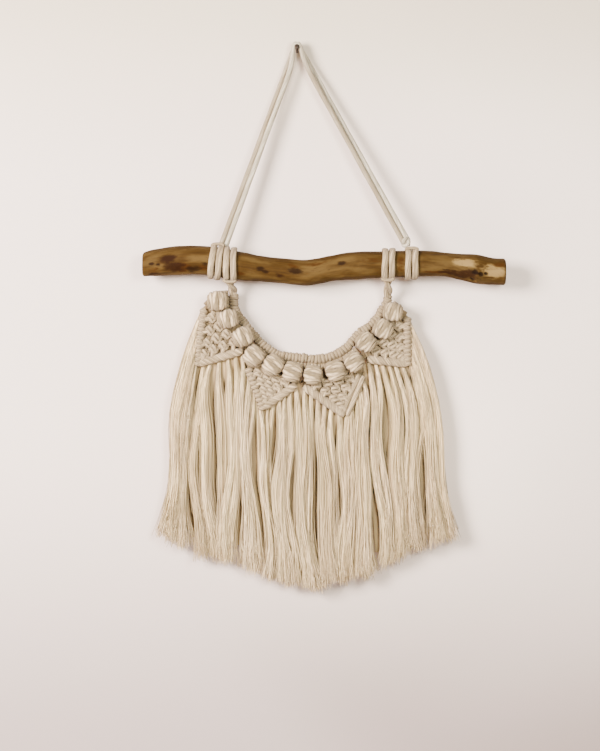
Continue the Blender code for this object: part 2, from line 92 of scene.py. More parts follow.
class Graph:
    """A node tree under construction."""

    def __init__(self, tree):
        self.tree = tree

    def node(self, kind, settings, inputs, output=0):
        """Adds a node: its settings first, then the values and links of its sockets."""
        made = self.tree.nodes.new(kind)
        for name, value in settings.items():
            setattr(made, name, value)
        for name, value in inputs.items():
            self.feed(made.inputs[name], value)
        return Value(self, made.outputs[output])

    def feed(self, socket, value):
        """Links a socket to a node's output, or sets its value."""
        if isinstance(value, Value):
            self.tree.links.new(value.socket, socket)
        else:
            socket.default_value = value

    def math(self, operation, *terms):
        """A Math node's number."""
        return self.node("ShaderNodeMath", {"operation": operation}, dict(enumerate(terms)))

    def vector(self, operation, *terms):
        """A Vector Math node's vector."""
        return self.node("ShaderNodeVectorMath", {"operation": operation}, dict(enumerate(terms)))

    def scale(self, vector, size):
        """A vector made longer or shorter."""
        return self.node("ShaderNodeVectorMath", {"operation": 'SCALE'}, {0: vector, "Scale": size})

    def parts(self, vector):
        """The X of a vector, whose `other` outputs are its Y and Z."""
        return self.node("ShaderNodeSeparateXYZ", {}, {0: vector})

    def object_place(self):
        """Where a point lies in its own object."""
        return self.node("ShaderNodeTexCoord", {}, {}, "Object")

    def mix(self, share, first, second):
        """A colour between two others, by a share from 0 to 1, on a Mix node's colour sockets."""
        return self.node("ShaderNodeMix", {"data_type": 'RGBA'}, {0: share, 6: first, 7: second}, 2)

    def step(self, value, low, high):
        """0 below the low value and 1 above the high one, with a soft change between them."""
        return self.node("ShaderNodeMapRange", {"interpolation_type": 'SMOOTHSTEP'}, {
            0: value, 1: low, 2: high})

    def grain(self, place, stretch, detail=2.0, roughness=0.5):
        """Noise from 0 to 1 at a place, finer along an axis the higher its stretch."""
        stretched = self.vector('MULTIPLY', place, stretch)
        return self.node("ShaderNodeTexNoise", {}, {"Vector": stretched, "Scale": 1.0, "Detail": detail,
                                                    "Roughness": roughness})


class Finish(Graph):
    """A surface finish: what stays the same all over is set on the shader's own sockets."""

    def __init__(self, name, constants):
        self.material = bpy.data.materials.new(name)
        self.material.use_nodes = True
        super().__init__(self.material.node_tree)
        self.shader = self.tree.nodes["Principled BSDF"]
        for socket, value in constants.items():
            self.shader.inputs[socket].default_value = value

    def attribute(self, name, output="Vector"):
        """The values that are kept at the mesh's points under a name."""
        return self.node("ShaderNodeAttribute", {"attribute_name": name}, {}, output)

    def drive(self, socket, value):
        """Gives one of the shader's sockets what varies over the surface."""
        self.feed(self.shader.inputs[socket], value)

    def bump(self, height, distance, strength=1.0):
        """Fine relief of the given depth, in metres."""
        self.drive("Normal", self.node("ShaderNodeBump", {}, {
            "Height": height, "Distance": distance, "Strength": strength}))


def keep_at_points(mesh, name, values):
    """Keeps a number or a vector at each point of a mesh, under a name."""
    values = np.asarray(values, np.float32)
    kind, field = ('FLOAT_VECTOR', "vector") if values.ndim == 2 else ('FLOAT', "value")
    mesh.attributes.new(name, kind, 'POINT').data.foreach_set(field, values.ravel())


def place_in_scene(name, data):
    """A new object at the origin."""
    made = bpy.data.objects.new(name, data)
    bpy.context.scene.collection.objects.link(made)
    return made


class Skin:
    """Points and faces of one piece, with named values at its points."""

    def __init__(self):
        self.points = []
        self.faces = []
        self.values = {}
        self.count = 0

    def add_rings(self, rings, values, closed=False):
        """A tube through rings of points, capped unless it closes on itself."""
        rows, sides = rings.shape[:2]
        corners = self.count + np.arange(rows * sides).reshape(rows, sides)
        beside = np.roll(corners, -1, 1)
        for row in range(rows if closed else rows - 1):
            after = (row + 1) % rows
            self.faces += np.stack([corners[row], corners[after], beside[after], beside[row]], 1).tolist()
        if not closed:
            self.faces += [corners[0].tolist(), corners[-1, ::-1].tolist()]
        self.points.append(rings.reshape(-1, 3))
        self.count += rows * sides
        for name, given in values.items():
            self.values.setdefault(name, []).append(given)

    def piece(self, name, material):
        """The finished mesh as an object at the origin."""
        mesh = bpy.data.meshes.new(name)
        mesh.from_pydata(np.concatenate(self.points).tolist(), [], self.faces)
        for value_name, given in self.values.items():
            keep_at_points(mesh, value_name, np.concatenate(given))
        mesh.materials.append(material)
        mesh.shade_smooth()
        return place_in_scene(name, mesh)


def fit(piece, slot, *nodes):
    """The piece rides on the one body and stands for its CAD nodes; `slot` is not used."""
    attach(piece, "root")
    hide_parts(*nodes)


def nail_rings():
    """Rings along the nail, from the crown of its head back to the wall's face, where it ends flush."""
    turn = np.arange(NAIL_SIDES) * math.tau / NAIL_SIDES
    axis = np.array((0, -math.cos(NAIL_RISE), math.sin(NAIL_RISE)))
    up = np.array((0, math.sin(NAIL_RISE), math.cos(NAIL_RISE)))
    circle = np.cos(turn)[:, None] * np.array((1, 0, 0)) + np.sin(turn)[:, None] * up
    rings = [np.stack([NAIL_RADIUS * np.cos(turn), 0 * turn, NAIL_RADIUS * np.sin(turn) / up[2]], 1)]
    rings += [axis * distance * MM + circle * radius * MM for distance, radius in NAIL_PROFILE]
    return np.array(rings)[::-1]


nail_finish = Finish("nail_steel_finish", {"Metallic": 0.85})
nail_place = nail_finish.object_place()
rust = nail_finish.grain(nail_place, (900, 900, 900), 4.0)
scratches = nail_finish.grain(nail_place, (3000, 300, 3000), 2.0)
rusty = nail_finish.step(rust, 0.45, 0.7)
nail_finish.drive("Base Color", nail_finish.mix(rusty, (0.045, 0.035, 0.028, 1), (0.09, 0.05, 0.03, 1)))
nail_finish.drive("Roughness", 0.35 + rust * 0.3)
nail_finish.bump(scratches, 0.05 * MM)
nail_skin = Skin()
nail_skin.add_rings(nail_rings(), {})
nail = nail_skin.piece("wire_nail", nail_finish.material)
fit(nail, "nail_steel", "nail")


# ---- Branch ---------------------------------------------------------------------------------
# One driftwood stick about 300 mm long, its bark gone, sawn off square at both ends. Knots, a
# drying crack and dark worm-eaten patches show in the brown wood.
BRANCH_DEPTH = -18.6 * MM
BRANCH_HEART_HEIGHT = -181.0 * MM
BRANCH_BEVEL = 1.6 * MM
SAWN_RINGS = (0.96, 0.8, 0.55, 0.3, 0.1)
BRANCH_STATIONS = [  # x, z, radius, in millimetres
    (-128.0, -178.8, 9.6),
    (-117.2, -177.0, 11.0),
    (-97.2, -174.9, 12.1),
    (-73.0, -175.1, 12.2),
    (-55.0, -178.4, 12.6),
    (-30.7, -182.0, 11.0),
    (-10.8, -184.1, 10.5),
    (9.1, -185.4, 10.6),
    (29.1, -181.6, 10.4),
    (49.0, -179.1, 11.1),
    (75.0, -178.2, 10.6),
    (102.2, -177.8, 10.8),
    (122.2, -178.7, 10.2),
    (135.5, -180.7, 11.2),
    (148.7, -182.4, 12.5),
    (162.0, -184.1, 11.4),
    (172.8, -184.5, 11.2),
]
BRANCH_LUMPS = [  # x, angle from the top towards the front, rise, spread along, spread round
    (149.0, 125.0, 1.6, 5.0, 28.0),
    (-2.0, 95.0, 0.5, 6.0, 25.0),
    (-122.0, 80.0, -0.5, 5.0, 30.0),
]
BRANCH_ROWS = 300
BRANCH_SIDES = 80
WOOD_MARKS = [  # kind, x, angle from the top towards the front, half length, half angle, strength
    ("red", -106.5, 85.0, 7.0, 18.0, 1.0),
    ("red", -101.0, 120.0, 8.5, 20.0, 1.0),
    ("dark", -85.5, 131.0, 6.0, 15.0, 0.9),
    ("brown", -93.0, 125.0, 7.0, 19.0, 0.9),
    ("dark", -119.0, 150.0, 5.0, 14.0, 0.5),
    ("brown", -77.0, 122.0, 4.0, 16.0, 0.8),
    ("dark", -75.7, 108.0, 3.0, 9.0, 0.8),
    ("dark", -120.0, 96.0, 2.2, 7.0, 1.0),
    ("dark", -114.4, 102.0, 1.9, 6.0, 1.0),
    ("brown", -118.0, 128.0, 6.0, 16.0, 0.6),
    ("brown", -47.4, 122.0, 4.0, 11.0, 0.8),
    ("dark", -29.8, 93.0, 3.4, 12.0, 0.9),
    ("dark", -26.4, 103.0, 3.4, 9.0, 0.9),
    ("red", -14.4, 114.0, 3.4, 10.0, 0.8),
    ("dark", -1.5, 87.0, 5.8, 13.0, 1.0),
    ("brown", -3.0, 62.0, 6.0, 12.0, 0.6),
    ("brown", 15.0, 57.0, 8.0, 9.0, 0.7),
    ("dark", 36.6, 75.0, 3.4, 10.0, 0.9),
    ("brown", 63.0, 75.0, 11.0, 12.0, 0.5),
    ("brown", 85.5, 92.0, 3.0, 45.0, 0.6),
    ("brown", 115.0, 130.0, 13.0, 8.0, 0.7),
    ("red", 132.0, 126.0, 13.0, 15.0, 1.0),
    ("red", 141.0, 116.0, 8.0, 20.0, 1.0),
    ("black", 146.5, 103.0, 2.4, 8.0, 1.0),
    ("black", 151.5, 109.0, 2.0, 8.0, 1.0),
    ("black", 156.0, 105.0, 1.8, 6.0, 1.0),
    ("black", 145.0, 138.0, 1.8, 7.0, 1.0),
    ("brown", 167.0, 65.0, 5.0, 10.0, 0.9),
    ("pale", 139.0, 72.0, 9.0, 17.0, 1.0),
    ("pale", 163.0, 92.0, 9.0, 26.0, 0.9),
    ("dark", -60.0, 250.0, 4.0, 14.0, 0.9),
    ("brown", 28.0, 268.0, 8.0, 20.0, 0.8),
    ("dark", 108.0, 284.0, 3.0, 10.0, 0.9),
    ("red", -96.0, 230.0, 9.0, 18.0, 0.7),
]
MARK_COLOURS = {
    "pale": (0.21, 0.13, 0.045, 1),
    "brown": (0.036, 0.0125, 0.0015, 1),
    "red": (0.013, 0.0036, 0.0006, 1),
    "dark": (0.010, 0.0034, 0.0005, 1),
    "black": (0.006, 0.002, 0.0004, 1),
}
RIPPLE_DEPTH = 0.16 * MM
DENT_DEPTH = 0.3 * MM
PIT_DEPTH = 1.3 * MM
PATCH_DEPTH = 0.25 * MM
GROWTH_RINGS = 5200.0  # radians a metre
CRACK = {"start": 107.0, "end": 131.0, "angle": 33.0, "wander": 2.5, "half_angle": 4.0,
         "depth": 0.7 * MM}


def spline(points, steps):
    """Points on a smooth curve through the given ones, `steps` to each stretch."""
    points = np.asarray(points, float)
    padded = np.vstack([2 * points[0] - points[1], points, 2 * points[-1] - points[-2]])
    t = (np.arange(steps) / steps)[:, None]
    curve = []
    for before, start, end, after in zip(padded, padded[1:], padded[2:], padded[3:]):
        curve.append(0.5 * (2 * start + (end - before) * t
                            + (2 * before - 5 * start + 4 * end - after) * t ** 2
                            + (3 * start - before - 3 * end + after) * t ** 3))
    return np.vstack([*curve, points[-1]])


BRANCH_CURVE = spline(BRANCH_STATIONS, 2) * MM


def branch_at(x):
    """The branch's middle height and mean radius at x."""
    return (np.interp(x, BRANCH_CURVE[:, 0], BRANCH_CURVE[:, 1]),
            np.interp(x, BRANCH_CURVE[:, 0], BRANCH_CURVE[:, 2]))


def away(turn, angle):
    """How far a turn, in radians, is from an angle in degrees, in degrees."""
    return (np.degrees(turn) - angle + 180) % 360 - 180


def branch_swell(x, turn):
    """How far the wood stands out from the mean radius, at x and an angle from the top."""
    swell = 0.35 * np.sin(2 * turn + 31 * x) + 0.25 * np.sin(3 * turn - 47 * x + 1)
    for lump_x, lump_turn, rise, spread_x, spread_turn in BRANCH_LUMPS:
        swell = swell + rise * np.exp(-((x / MM - lump_x) / spread_x) ** 2
                                      - (away(turn, lump_turn) / spread_turn) ** 2)
    return swell * MM


def wood_noise(x, turn, round_it, along_it, start):
    """Noise from -1 to 1 over the wood's surface."""
    circle = [(round_it * math.cos(angle), round_it * math.sin(angle)) for angle in turn]
    return np.array([[noise.noise((*place, far * along_it + start)) for place in circle] for far in x])


def sawn_face(ring):
    """Rings across a sawn end, from near its edge in to its heart."""
    heart = ring.mean(0)
    return np.array([heart + (ring - heart) * share for share in SAWN_RINGS])


def branch_skin():
    """The whole stick: its long side, rounded edges and sawn ends."""
    smooth = spline(BRANCH_STATIONS, 24) * MM
    x = np.linspace(smooth[0, 0], smooth[-1, 0], BRANCH_ROWS)
    middle = np.interp(x, smooth[:, 0], smooth[:, 1])
    mean = np.interp(x, smooth[:, 0], smooth[:, 2])
    turn = np.arange(BRANCH_SIDES) * math.tau / BRANCH_SIDES
    xs, turns = np.meshgrid(x, turn, indexing='ij')
    radius = mean[:, None] + branch_swell(xs, turns)
    marks = {kind: np.zeros_like(xs) for kind in MARK_COLOURS}
    for kind, mark_x, angle, half_length, half_angle, strength in WOOD_MARKS:
        spread = ((xs / MM - mark_x) / half_length) ** 2 + (away(turns, angle) / half_angle) ** 2
        marks[kind] = np.maximum(marks[kind], strength * np.exp(-0.7 * spread ** 1.5))
    crack_span = np.clip((xs / MM - CRACK["start"]) / (CRACK["end"] - CRACK["start"]), 0, 1)
    wander = CRACK["wander"] * np.sin(crack_span * 9)
    crack = np.sin(math.pi * crack_span) * np.exp(-(away(turns, CRACK["angle"] + wander)
                                                    / CRACK["half_angle"]) ** 2)
    radius += wood_noise(x, turn, 9, 45, 0) * RIPPLE_DEPTH + wood_noise(x, turn, 2, 110, 7) * DENT_DEPTH
    radius -= marks["black"] * PIT_DEPTH + crack * CRACK["depth"] + marks["dark"] * PATCH_DEPTH
    from_end = np.clip(BRANCH_BEVEL - np.minimum(x - x[0], x[-1] - x), 0, None)
    radius -= (BRANCH_BEVEL - np.sqrt(np.clip(BRANCH_BEVEL ** 2 - from_end ** 2, 0, None)))[:, None]
    rings = np.stack([xs, BRANCH_DEPTH - radius * np.sin(turns), middle[:, None] + radius * np.cos(turns)], 2)
    rings = np.concatenate([sawn_face(rings[0])[::-1], rings, sawn_face(rings[-1])])
    at_ends = ((len(SAWN_RINGS),) * 2, (0, 0))
    values = {kind: np.pad(field, at_ends).ravel() for kind, field in marks.items()}
    values["crack"] = np.pad(crack, at_ends).ravel()
    values["sawn"] = np.pad(np.zeros_like(xs), at_ends, constant_values=1).ravel()
    bark = np.stack([np.cos(turns), np.sin(turns), xs], 2)
    values["bark"] = np.pad(bark, (*at_ends, (0, 0)), 'edge').reshape(-1, 3)
    skin = Skin()
    skin.add_rings(rings, values)
    return skin


wood = Finish("driftwood_finish", {"Specular IOR Level": 0.05})
bark_place = wood.attribute("bark")
grain_line = wood.grain(bark_place, (7, 7, 26), 5.0, 0.6)
fine_line = wood.grain(bark_place, (26, 26, 60), 3.0, 0.6)
cloud = wood.grain(bark_place, (1.4, 1.4, 38), 3.0)
smudge = wood.grain(bark_place, (4.5, 4.5, 160), 4.0, 0.65)
tone = wood.mix(wood.step(grain_line, 0.3, 0.7), (0.028, 0.0126, 0.0022, 1), (0.046, 0.0222, 0.0043, 1))
tone = wood.mix(wood.step(cloud, 0.4, 0.68) * 0.6, tone, (0.098, 0.057, 0.0165, 1))
tone = wood.mix(wood.step(fine_line, 0.5, 0.75) * 0.35, tone, (0.015, 0.0056, 0.0007, 1))
for kind, colour in MARK_COLOURS.items():
    edge = wood.attribute(kind, "Fac") * 0.9 + (smudge - 0.5) * 1.5 + (grain_line - 0.5) * 0.6
    tone = wood.mix(wood.step(edge, 0.15, 0.75) * 0.92, tone, colour)
# The crack's dark line is painted shade in the split.
tone = wood.mix(wood.step(wood.attribute("crack", "Fac"), 0.25, 0.7), tone, (0.03, 0.015, 0.008, 1))
# Painted shade darkens the top of the branch.
shaded_top = wood.step(wood.parts(bark_place), 0.55, 1.0)
tone = wood.mix(shaded_top * 0.35, tone, (0.030, 0.014, 0.003, 1))
from_heart = wood.vector('ADD', wood.object_place(), (0, -BRANCH_DEPTH, -BRANCH_HEART_HEIGHT))
from_heart = wood.vector('LENGTH', wood.vector('MULTIPLY', from_heart, (0, 1, 1))).other("Value")
growth = wood.step(wood.math('SINE', from_heart * GROWTH_RINGS + smudge * 5), -0.6, 0.9)
sawn_tone = wood.mix(growth, (0.11, 0.055, 0.015, 1), (0.21, 0.12, 0.04, 1))
tone = wood.mix(wood.attribute("sawn", "Fac"), tone, sawn_tone)
wood.drive("Base Color", tone)
wood.drive("Roughness", 0.6 + grain_line * 0.25)
wood.bump(grain_line * 0.6 + fine_line * 0.4, 0.35 * MM, 0.8)
branch = branch_skin().piece("driftwood_stick", wood.material)
fit(branch, "driftwood", "branch")


# ---- Hanger ---------------------------------------------------------------------------------
# One length of soft cotton cord, about 5 mm thick, doubled over the nail. A lark's head holds it
# on the branch at each side, and a small round knot ties its ends off above the right one.
FRONT = np.array((0.0, -1.0, 0.0))
ALONG_BRANCH = np.array((1.0, 0.0, 0.0))
TAUT_RADIUS = 2.1 * MM
TAUT_SPACING = 4.2 * MM
TAUT_FLATTENING = 0.25
BEARING_GAP = 0.1 * MM
BEARING_SPREAD = 7.0 * MM
WRAP_BEARING = 2.5 * MM
WRAP_HALF_WIDTH = 2.6 * MM
WRAP_HALF_THICK = 1.35 * MM
WRAP_WAVER = 0.25 * MM
WRAP_STEPS = 96
WRAP_FLANK_SHADE = 0.95
BRANCH_CLEAR = 0.1 * MM
HANGER_HEADS = [  # x, lean, in millimetres
    (-67.2, 1.8),
    (94.8, 0.3),
]
HEAD_SPACING = 5.8 * MM
TOP_FOLD_ANGLE = math.radians(24)
FOLD_RISE = 1.6 * WRAP_HALF_THICK
FOLD_HALF_LENGTH = 4.6 * MM
FOLD_ROUTE = [  # share of the half length, sinking in half thicknesses
    (-1.0, 1.3),
    (-0.93, 0.6),
    (-0.5, 0.0),
    (0.5, 0.0),
    (0.93, 0.6),
    (1.0, 1.3),
]
BEARINGS = (3.5 * MM, 8.5 * MM)
SHOULDER_REACH = 2.6 * MM
SHOULDER_DROP = 1.2 * MM
PAIRING_LENGTH = 24.0 * MM
PAIRING_SHARE = 0.9
FOOT_LENGTH = 6.0 * MM
SHADED_FROM = 12.0 * MM
FOOT_DEPTH = BRANCH_DEPTH - 1.0 * MM
LEFT_FOOT_SHIFT = np.array((4.6, 0.0, 0.0)) * MM
STOPPER = np.array((90.2 * MM, BRANCH_DEPTH - 4.0 * MM, -160.1 * MM))
STOPPER_STEPS = 120
STOPPER_SIZE = 1.1 * MM
STOPPER_CORD = 1.55 * MM
STOPPER_FLANK_SHADE = 0.5
LEG_SHADE = 0.62
LEG_FLANK_SHADE = (0.35, 0.55)  # in the light, in the other strand's shade
CORD_SIDES = 14
CORD_PLIES = 3
PLY_RELIEF = 0.07
CORD_TWIST = 55.0  # radians a metre
STRAND_SHIFT = 0.37  # millimetres for each point laid before, so no two cords' fibres match
FLANK_SHADE = 0.8


def unit(vectors):
    """The same directions with a length of 1."""
    return vectors / np.linalg.norm(vectors, axis=-1, keepdims=True)


def smooth_share(value, low, high):
    """0 below the low value, 1 above the high one and a soft change between them."""
    share = np.clip((value - low) / (high - low), 0, 1)
    return share ** 2 * (3 - 2 * share)


def lay_cord(skin, path, half_width, half_depth, facing=FRONT, sides=CORD_SIDES, closed=False,
             twist=CORD_TWIST, relief=PLY_RELIEF, shade=0.0, flank_shade=FLANK_SHADE, fineness=1.0):
    """Adds a length of cord; `strand` keeps each point's place round it and along it.

    `shade` paints shade on its front and `flank_shade` paints shade on its flanks, where it lies against its
    neighbours.
    """
    path = np.asarray(path, float)
    ahead = np.roll(path, -1, 0) - np.roll(path, 1, 0) if closed else np.gradient(path, axis=0)
    along = unit(ahead)
    side = unit(np.cross(along, facing))
    out = np.cross(side, along)
    steps = np.linalg.norm(np.diff(path, axis=0), axis=1)
    length = np.concatenate([[0], np.cumsum(steps)])
    if closed:
        whole = length[-1] + np.linalg.norm(path[0] - path[-1])
        ply_turn = math.tau / CORD_PLIES
        twist = round(twist * whole / ply_turn) * ply_turn / whole
    turn = np.arange(sides) * math.tau / sides
    turned = turn[None] + twist * length[:, None]
    lobes = 1 + relief * (np.abs(np.cos(CORD_PLIES / 2 * turned)) - 0.6)
    wide = (np.broadcast_to(half_width, len(path))[:, None] * np.cos(turn) * lobes)[..., None]
    deep = (np.broadcast_to(half_depth, len(path))[:, None] * np.sin(turn) * lobes)[..., None]
    rings = path[:, None] + side[:, None] * wide + out[:, None] * deep
    strand = np.stack([fineness * np.cos(turned), fineness * np.sin(turned),
                       np.broadcast_to(length[:, None], turned.shape) + STRAND_SHIFT * skin.count * MM], 2)
    normals = unit(side[:, None] * wide / np.mean(half_width) ** 2
                   + out[:, None] * deep / np.mean(half_depth) ** 2)
    # Painted shade: the flanks are darker where the cord turns away from the front.
    flank = 1 - smooth_share(np.abs(normals @ FRONT), 0.05, 0.75)
    shades = np.maximum(shade * np.clip(0.6 + 2 * np.sin(turn), 0, 1), flank_shade * flank)
    skin.add_rings(rings, {"strand": strand.reshape(-1, 3), "shade": shades.ravel()}, closed)


def wrap_radius(x, turn):
    """The radius of a cord's middle line round the branch at x, at angles from the top."""
    reach = np.max([branch_at(near)[1] + branch_swell(near, turn)
                    for near in (x - WRAP_BEARING, x, x + WRAP_BEARING)], axis=0)
    return reach + BRANCH_CLEAR + WRAP_HALF_THICK


def lay_larks_head(skin, x, lean, fold_turn):
    """Two turns of cord side by side on the branch, held by the cord's own fold across them."""
    for side in (-1, 1):
        middle_x = x + side * HEAD_SPACING / 2
        turn = math.pi * 1.5 + np.arange(WRAP_STEPS) * math.tau / WRAP_STEPS
        radius = wrap_radius(middle_x, turn)
        path = np.stack([middle_x + lean * np.cos(turn) + WRAP_WAVER * np.sin(3 * turn + side),
                         BRANCH_DEPTH - radius * np.sin(turn),
                         branch_at(middle_x)[0] + radius * np.cos(turn)], 1)
        lay_cord(skin, path, WRAP_HALF_THICK, WRAP_HALF_WIDTH, ALONG_BRANCH, closed=True,
                 flank_shade=WRAP_FLANK_SHADE)
    radius = wrap_radius(x, fold_turn) + FOLD_RISE
    out = np.array((0, -math.sin(fold_turn), math.cos(fold_turn)))
    middle = np.array((x + lean * math.cos(fold_turn), BRANCH_DEPTH, branch_at(x)[0])) + out * radius
    path = spline([middle + ALONG_BRANCH * FOLD_HALF_LENGTH * share - out * WRAP_HALF_THICK * sunk
                   for share, sunk in FOLD_ROUTE], 6)
    lay_cord(skin, path, WRAP_HALF_THICK, WRAP_HALF_THICK)


def leg_points(top, foot, way, side):
    """One strand of a leg, from the nail's shoulder down to the branch."""
    leg = unit(foot - top)
    across = unit(np.cross(leg, FRONT)) * way * side * TAUT_SPACING / 2
    shoulder = top + np.array((way * SHOULDER_REACH, 0, -SHOULDER_DROP))
    paired = top + leg * PAIRING_LENGTH + across * PAIRING_SHARE
    low = foot - leg * FOOT_LENGTH + across
    third = (low - paired) / 3
    return [shoulder, paired, paired + third, paired + third * 2, low, foot + across]


def hanger_skins():
    """The heads that grip the branch, and the two legs that hang taut from the nail, with their knot."""
    heads, legs = Skin(), Skin()
    for x, lean in HANGER_HEADS:
        lay_larks_head(heads, x * MM, lean * MM, TOP_FOLD_ANGLE)
    x, lean = HANGER_HEADS[0]
    foot_height = branch_at(x * MM)[0] + wrap_radius(x * MM, 0.0)
    left = np.array(((x + lean) * MM, FOOT_DEPTH, foot_height)) + LEFT_FOOT_SHIFT
    saddle = (NAIL_RADIUS + BEARING_GAP + (1 - TAUT_FLATTENING) * TAUT_RADIUS) / math.cos(NAIL_RISE)
    for side, from_wall in zip((-1, 1), BEARINGS):
        top = np.array((0, -from_wall, from_wall * math.tan(NAIL_RISE) + saddle))
        path = spline([*leg_points(top, left, -1, side)[::-1], top, *leg_points(top, STOPPER, 1, side)], 16)
        bearing = np.exp(-(np.linalg.norm(path - top, axis=1) / BEARING_SPREAD) ** 2)
        # The left strand of each leg carries painted shade.
        in_shade = np.clip(side * path[:, :1] / SHADED_FROM, 0, 1)
        lay_cord(legs, path, TAUT_RADIUS * (1 - TAUT_FLATTENING * bearing), TAUT_RADIUS,
                 shade=LEG_SHADE * in_shade,
                 flank_shade=LEG_FLANK_SHADE[0] * (1 - in_shade) + LEG_FLANK_SHADE[1] * in_shade)
    turn = np.arange(STOPPER_STEPS) * math.tau / STOPPER_STEPS
    reach = 2 + np.cos(3 * turn)  # the knot is a trefoil
    knot = np.stack([-2 * np.sin(3 * turn), reach * np.cos(2 * turn), reach * np.sin(2 * turn)], 1)
    lay_cord(legs, STOPPER + knot * STOPPER_SIZE, STOPPER_CORD, STOPPER_CORD, closed=True,
             flank_shade=STOPPER_FLANK_SHADE)
    return heads, legs


def spun_cotton(name, light, shade):
    """Soft fibres that run along a cord, with painted shade in the furrows between them and wherever the mesh
    keeps shade.
    """
    made = Finish(name, {"Roughness": 0.95, "Sheen Weight": 0.1, "Sheen Roughness": 0.6,
                         "Specular IOR Level": 0.2})
    place = made.attribute("strand")
    fibres = made.grain(place, (6.5, 6.5, 90), 3.0, 0.6)
    furrows = made.grain(place, (1.9, 1.9, 35), 2.0)
    colour = made.mix(made.step(fibres, 0.38, 0.68), shade, light)
    colour = made.mix(made.step(furrows, 0.4, 0.64) * 0.75, colour, shade)
    # Painted shade that the mesh keeps at its points, on flanks and in gaps.
    colour = made.mix(made.attribute("shade", "Fac"), colour, (0.17, 0.11, 0.05, 1))
    made.drive("Base Color", colour)
    made.bump(fibres * 0.6 + furrows * 0.8, 0.55 * MM)
    return made


cord_cotton = spun_cotton("cotton_cord_finish", (0.64, 0.46, 0.28, 1), (0.16, 0.11, 0.055, 1))
taut_cotton = spun_cotton("taut_cotton_finish", (0.72, 0.62, 0.48, 1), (0.31, 0.25, 0.17, 1))
hanger_heads, hanger_legs = hanger_skins()
fit(hanger_heads.piece("hanger_wraps", cord_cotton.material), "cotton_cord", "hanger_cord")
fit(hanger_legs.piece("hanger_legs", taut_cotton.material), "cotton_cord", "hanger_cord")


# ---- Neck cord ------------------------------------------------------------------------------
# The collar's neckline: a cotton cord held on the branch by two lark's heads, twisted on itself
# on its way down. Along the neckline the knotting cords hitch over it, one against the next.
NECK_HEADS = [  # x, lean, in millimetres
    (-55.4, 0.3),
    (75.6, 0.5),
]
LOW_FOLD_ANGLE = math.radians(158)
RIM_DEPTH = -9.0 * MM
RIM_CORE = 2.3 * MM
RIM_CORE_ENDS = (0.75, 0.03)  # share of it at the ends, gain for each step inwards
RIM_HITCH_HALF = (2.45 * MM, 2.6 * MM)
RIM_HITCH_CORD = 1.55 * MM
RIM_HITCH_WAVE = 0.3 * MM
RIM_HITCHES = 66
RIM_UNEVENNESS = 0.2
RIM_OUTER = 3.95 * MM
NECK_ROUTE = [  # x, z of the cord's middle line, in millimetres
    (-51.9, -201.9),
    (-52.8, -208.6),
    (-50.7, -217.7),
    (-41.4, -230.0),
    (-31.0, -242.3),
    (-17.5, -252.5),
    (-5.8, -254.9),
    (5.8, -255.8),
    (17.5, -256.8),
    (29.9, -253.9),
    (41.6, -247.0),
    (51.5, -235.6),
    (58.6, -231.0),
    (66.9, -222.7),
    (71.5, -215.2),
    (74.8, -209.4),
    (76.0, -203.4),
]
ARM_RADIUS = 2.1 * MM
ARM_SWING = 1.7 * MM
ARM_TURNS = 0.75
ARM_STATIONS = 30
ARM_TWIST = 150.0  # radians a metre
RING_STEPS = 24
RING_SIDES = 9
RING_RELIEF = 0.09


class Recipe(Graph):
    """A Geometry Nodes tree: a Geometry input, and named inputs for sizes and pieces."""

    def __init__(self, name, inputs):
        super().__init__(bpy.data.node_groups.new(name, 'GeometryNodeTree'))
        for way in ('INPUT', 'OUTPUT'):
            self.tree.interface.new_socket("Geometry", in_out=way, socket_type='NodeSocketGeometry')
        for label, kind in inputs.items():
            self.tree.interface.new_socket(label, in_out='INPUT', socket_type='NodeSocket' + kind)
        self.inlet = self.tree.nodes.new("NodeGroupInput")
        self.outlet = self.tree.nodes.new("NodeGroupOutput")

    def given(self, label):
        """One of the recipe's inputs."""
        return Value(self, self.inlet.outputs[label])

    def shape_of(self, label):
        """The mesh of an object that is handed in."""
        return self.node("GeometryNodeObjectInfo", {}, {"Object": self.given(label)}, "Geometry")

    def random(self, low, high, seed=0, kind='FLOAT'):
        """A random number, or a random vector, for each element."""
        first, output = {'FLOAT': (2, 1), 'FLOAT_VECTOR': (0, 0)}[kind]  # each kind's own sockets
        return self.node("FunctionNodeRandomValue", {"data_type": kind}, {
            first: low, first + 1: high, "Seed": self.given("Seed") + seed}, output)

    def keep(self, shape, label, value, domain, kind='FLOAT'):
        """Stores a value under a name on the shape."""
        return self.node("GeometryNodeStoreNamedAttribute", {"data_type": kind, "domain": domain}, {
            "Geometry": shape, "Name": label, "Value": value})

    def kept(self, label, kind='FLOAT'):
        """The values that were stored under a name."""
        return self.node("GeometryNodeInputNamedAttribute", {"data_type": kind}, {"Name": label}, "Attribute")

    def end(self, grown):
        """Joins what has grown to the piece, makes it real, gives all its material and hands it out."""
        joint = self.tree.nodes.new("GeometryNodeJoinGeometry")
        for shape in (self.given("Geometry"), grown):
            self.tree.links.new(shape.socket, joint.inputs[0])
        real = self.node("GeometryNodeRealizeInstances", {}, {"Geometry": Value(self, joint.outputs[0])})
        dressed = self.node("GeometryNodeSetMaterial", {}, {
            "Geometry": real, "Material": self.given("Material")})
        self.feed(self.outlet.inputs[0], dressed)

    def grow(self, piece, **given):
        """Runs the recipe on a piece and leaves the result as its plain mesh."""
        modifier = piece.modifiers.new(self.tree.name, 'NODES')
        modifier.node_group = self.tree
        for item in self.tree.interface.items_tree:
            if item.in_out == 'INPUT' and item.name in given:
                modifier[item.identifier] = given[item.name]
        bpy.context.view_layer.update()
        evaluated = piece.evaluated_get(bpy.context.evaluated_depsgraph_get())
        mesh = bpy.data.meshes.new_from_object(evaluated)
        piece.modifiers.clear()
        piece.data = mesh
        mesh.shade_smooth()


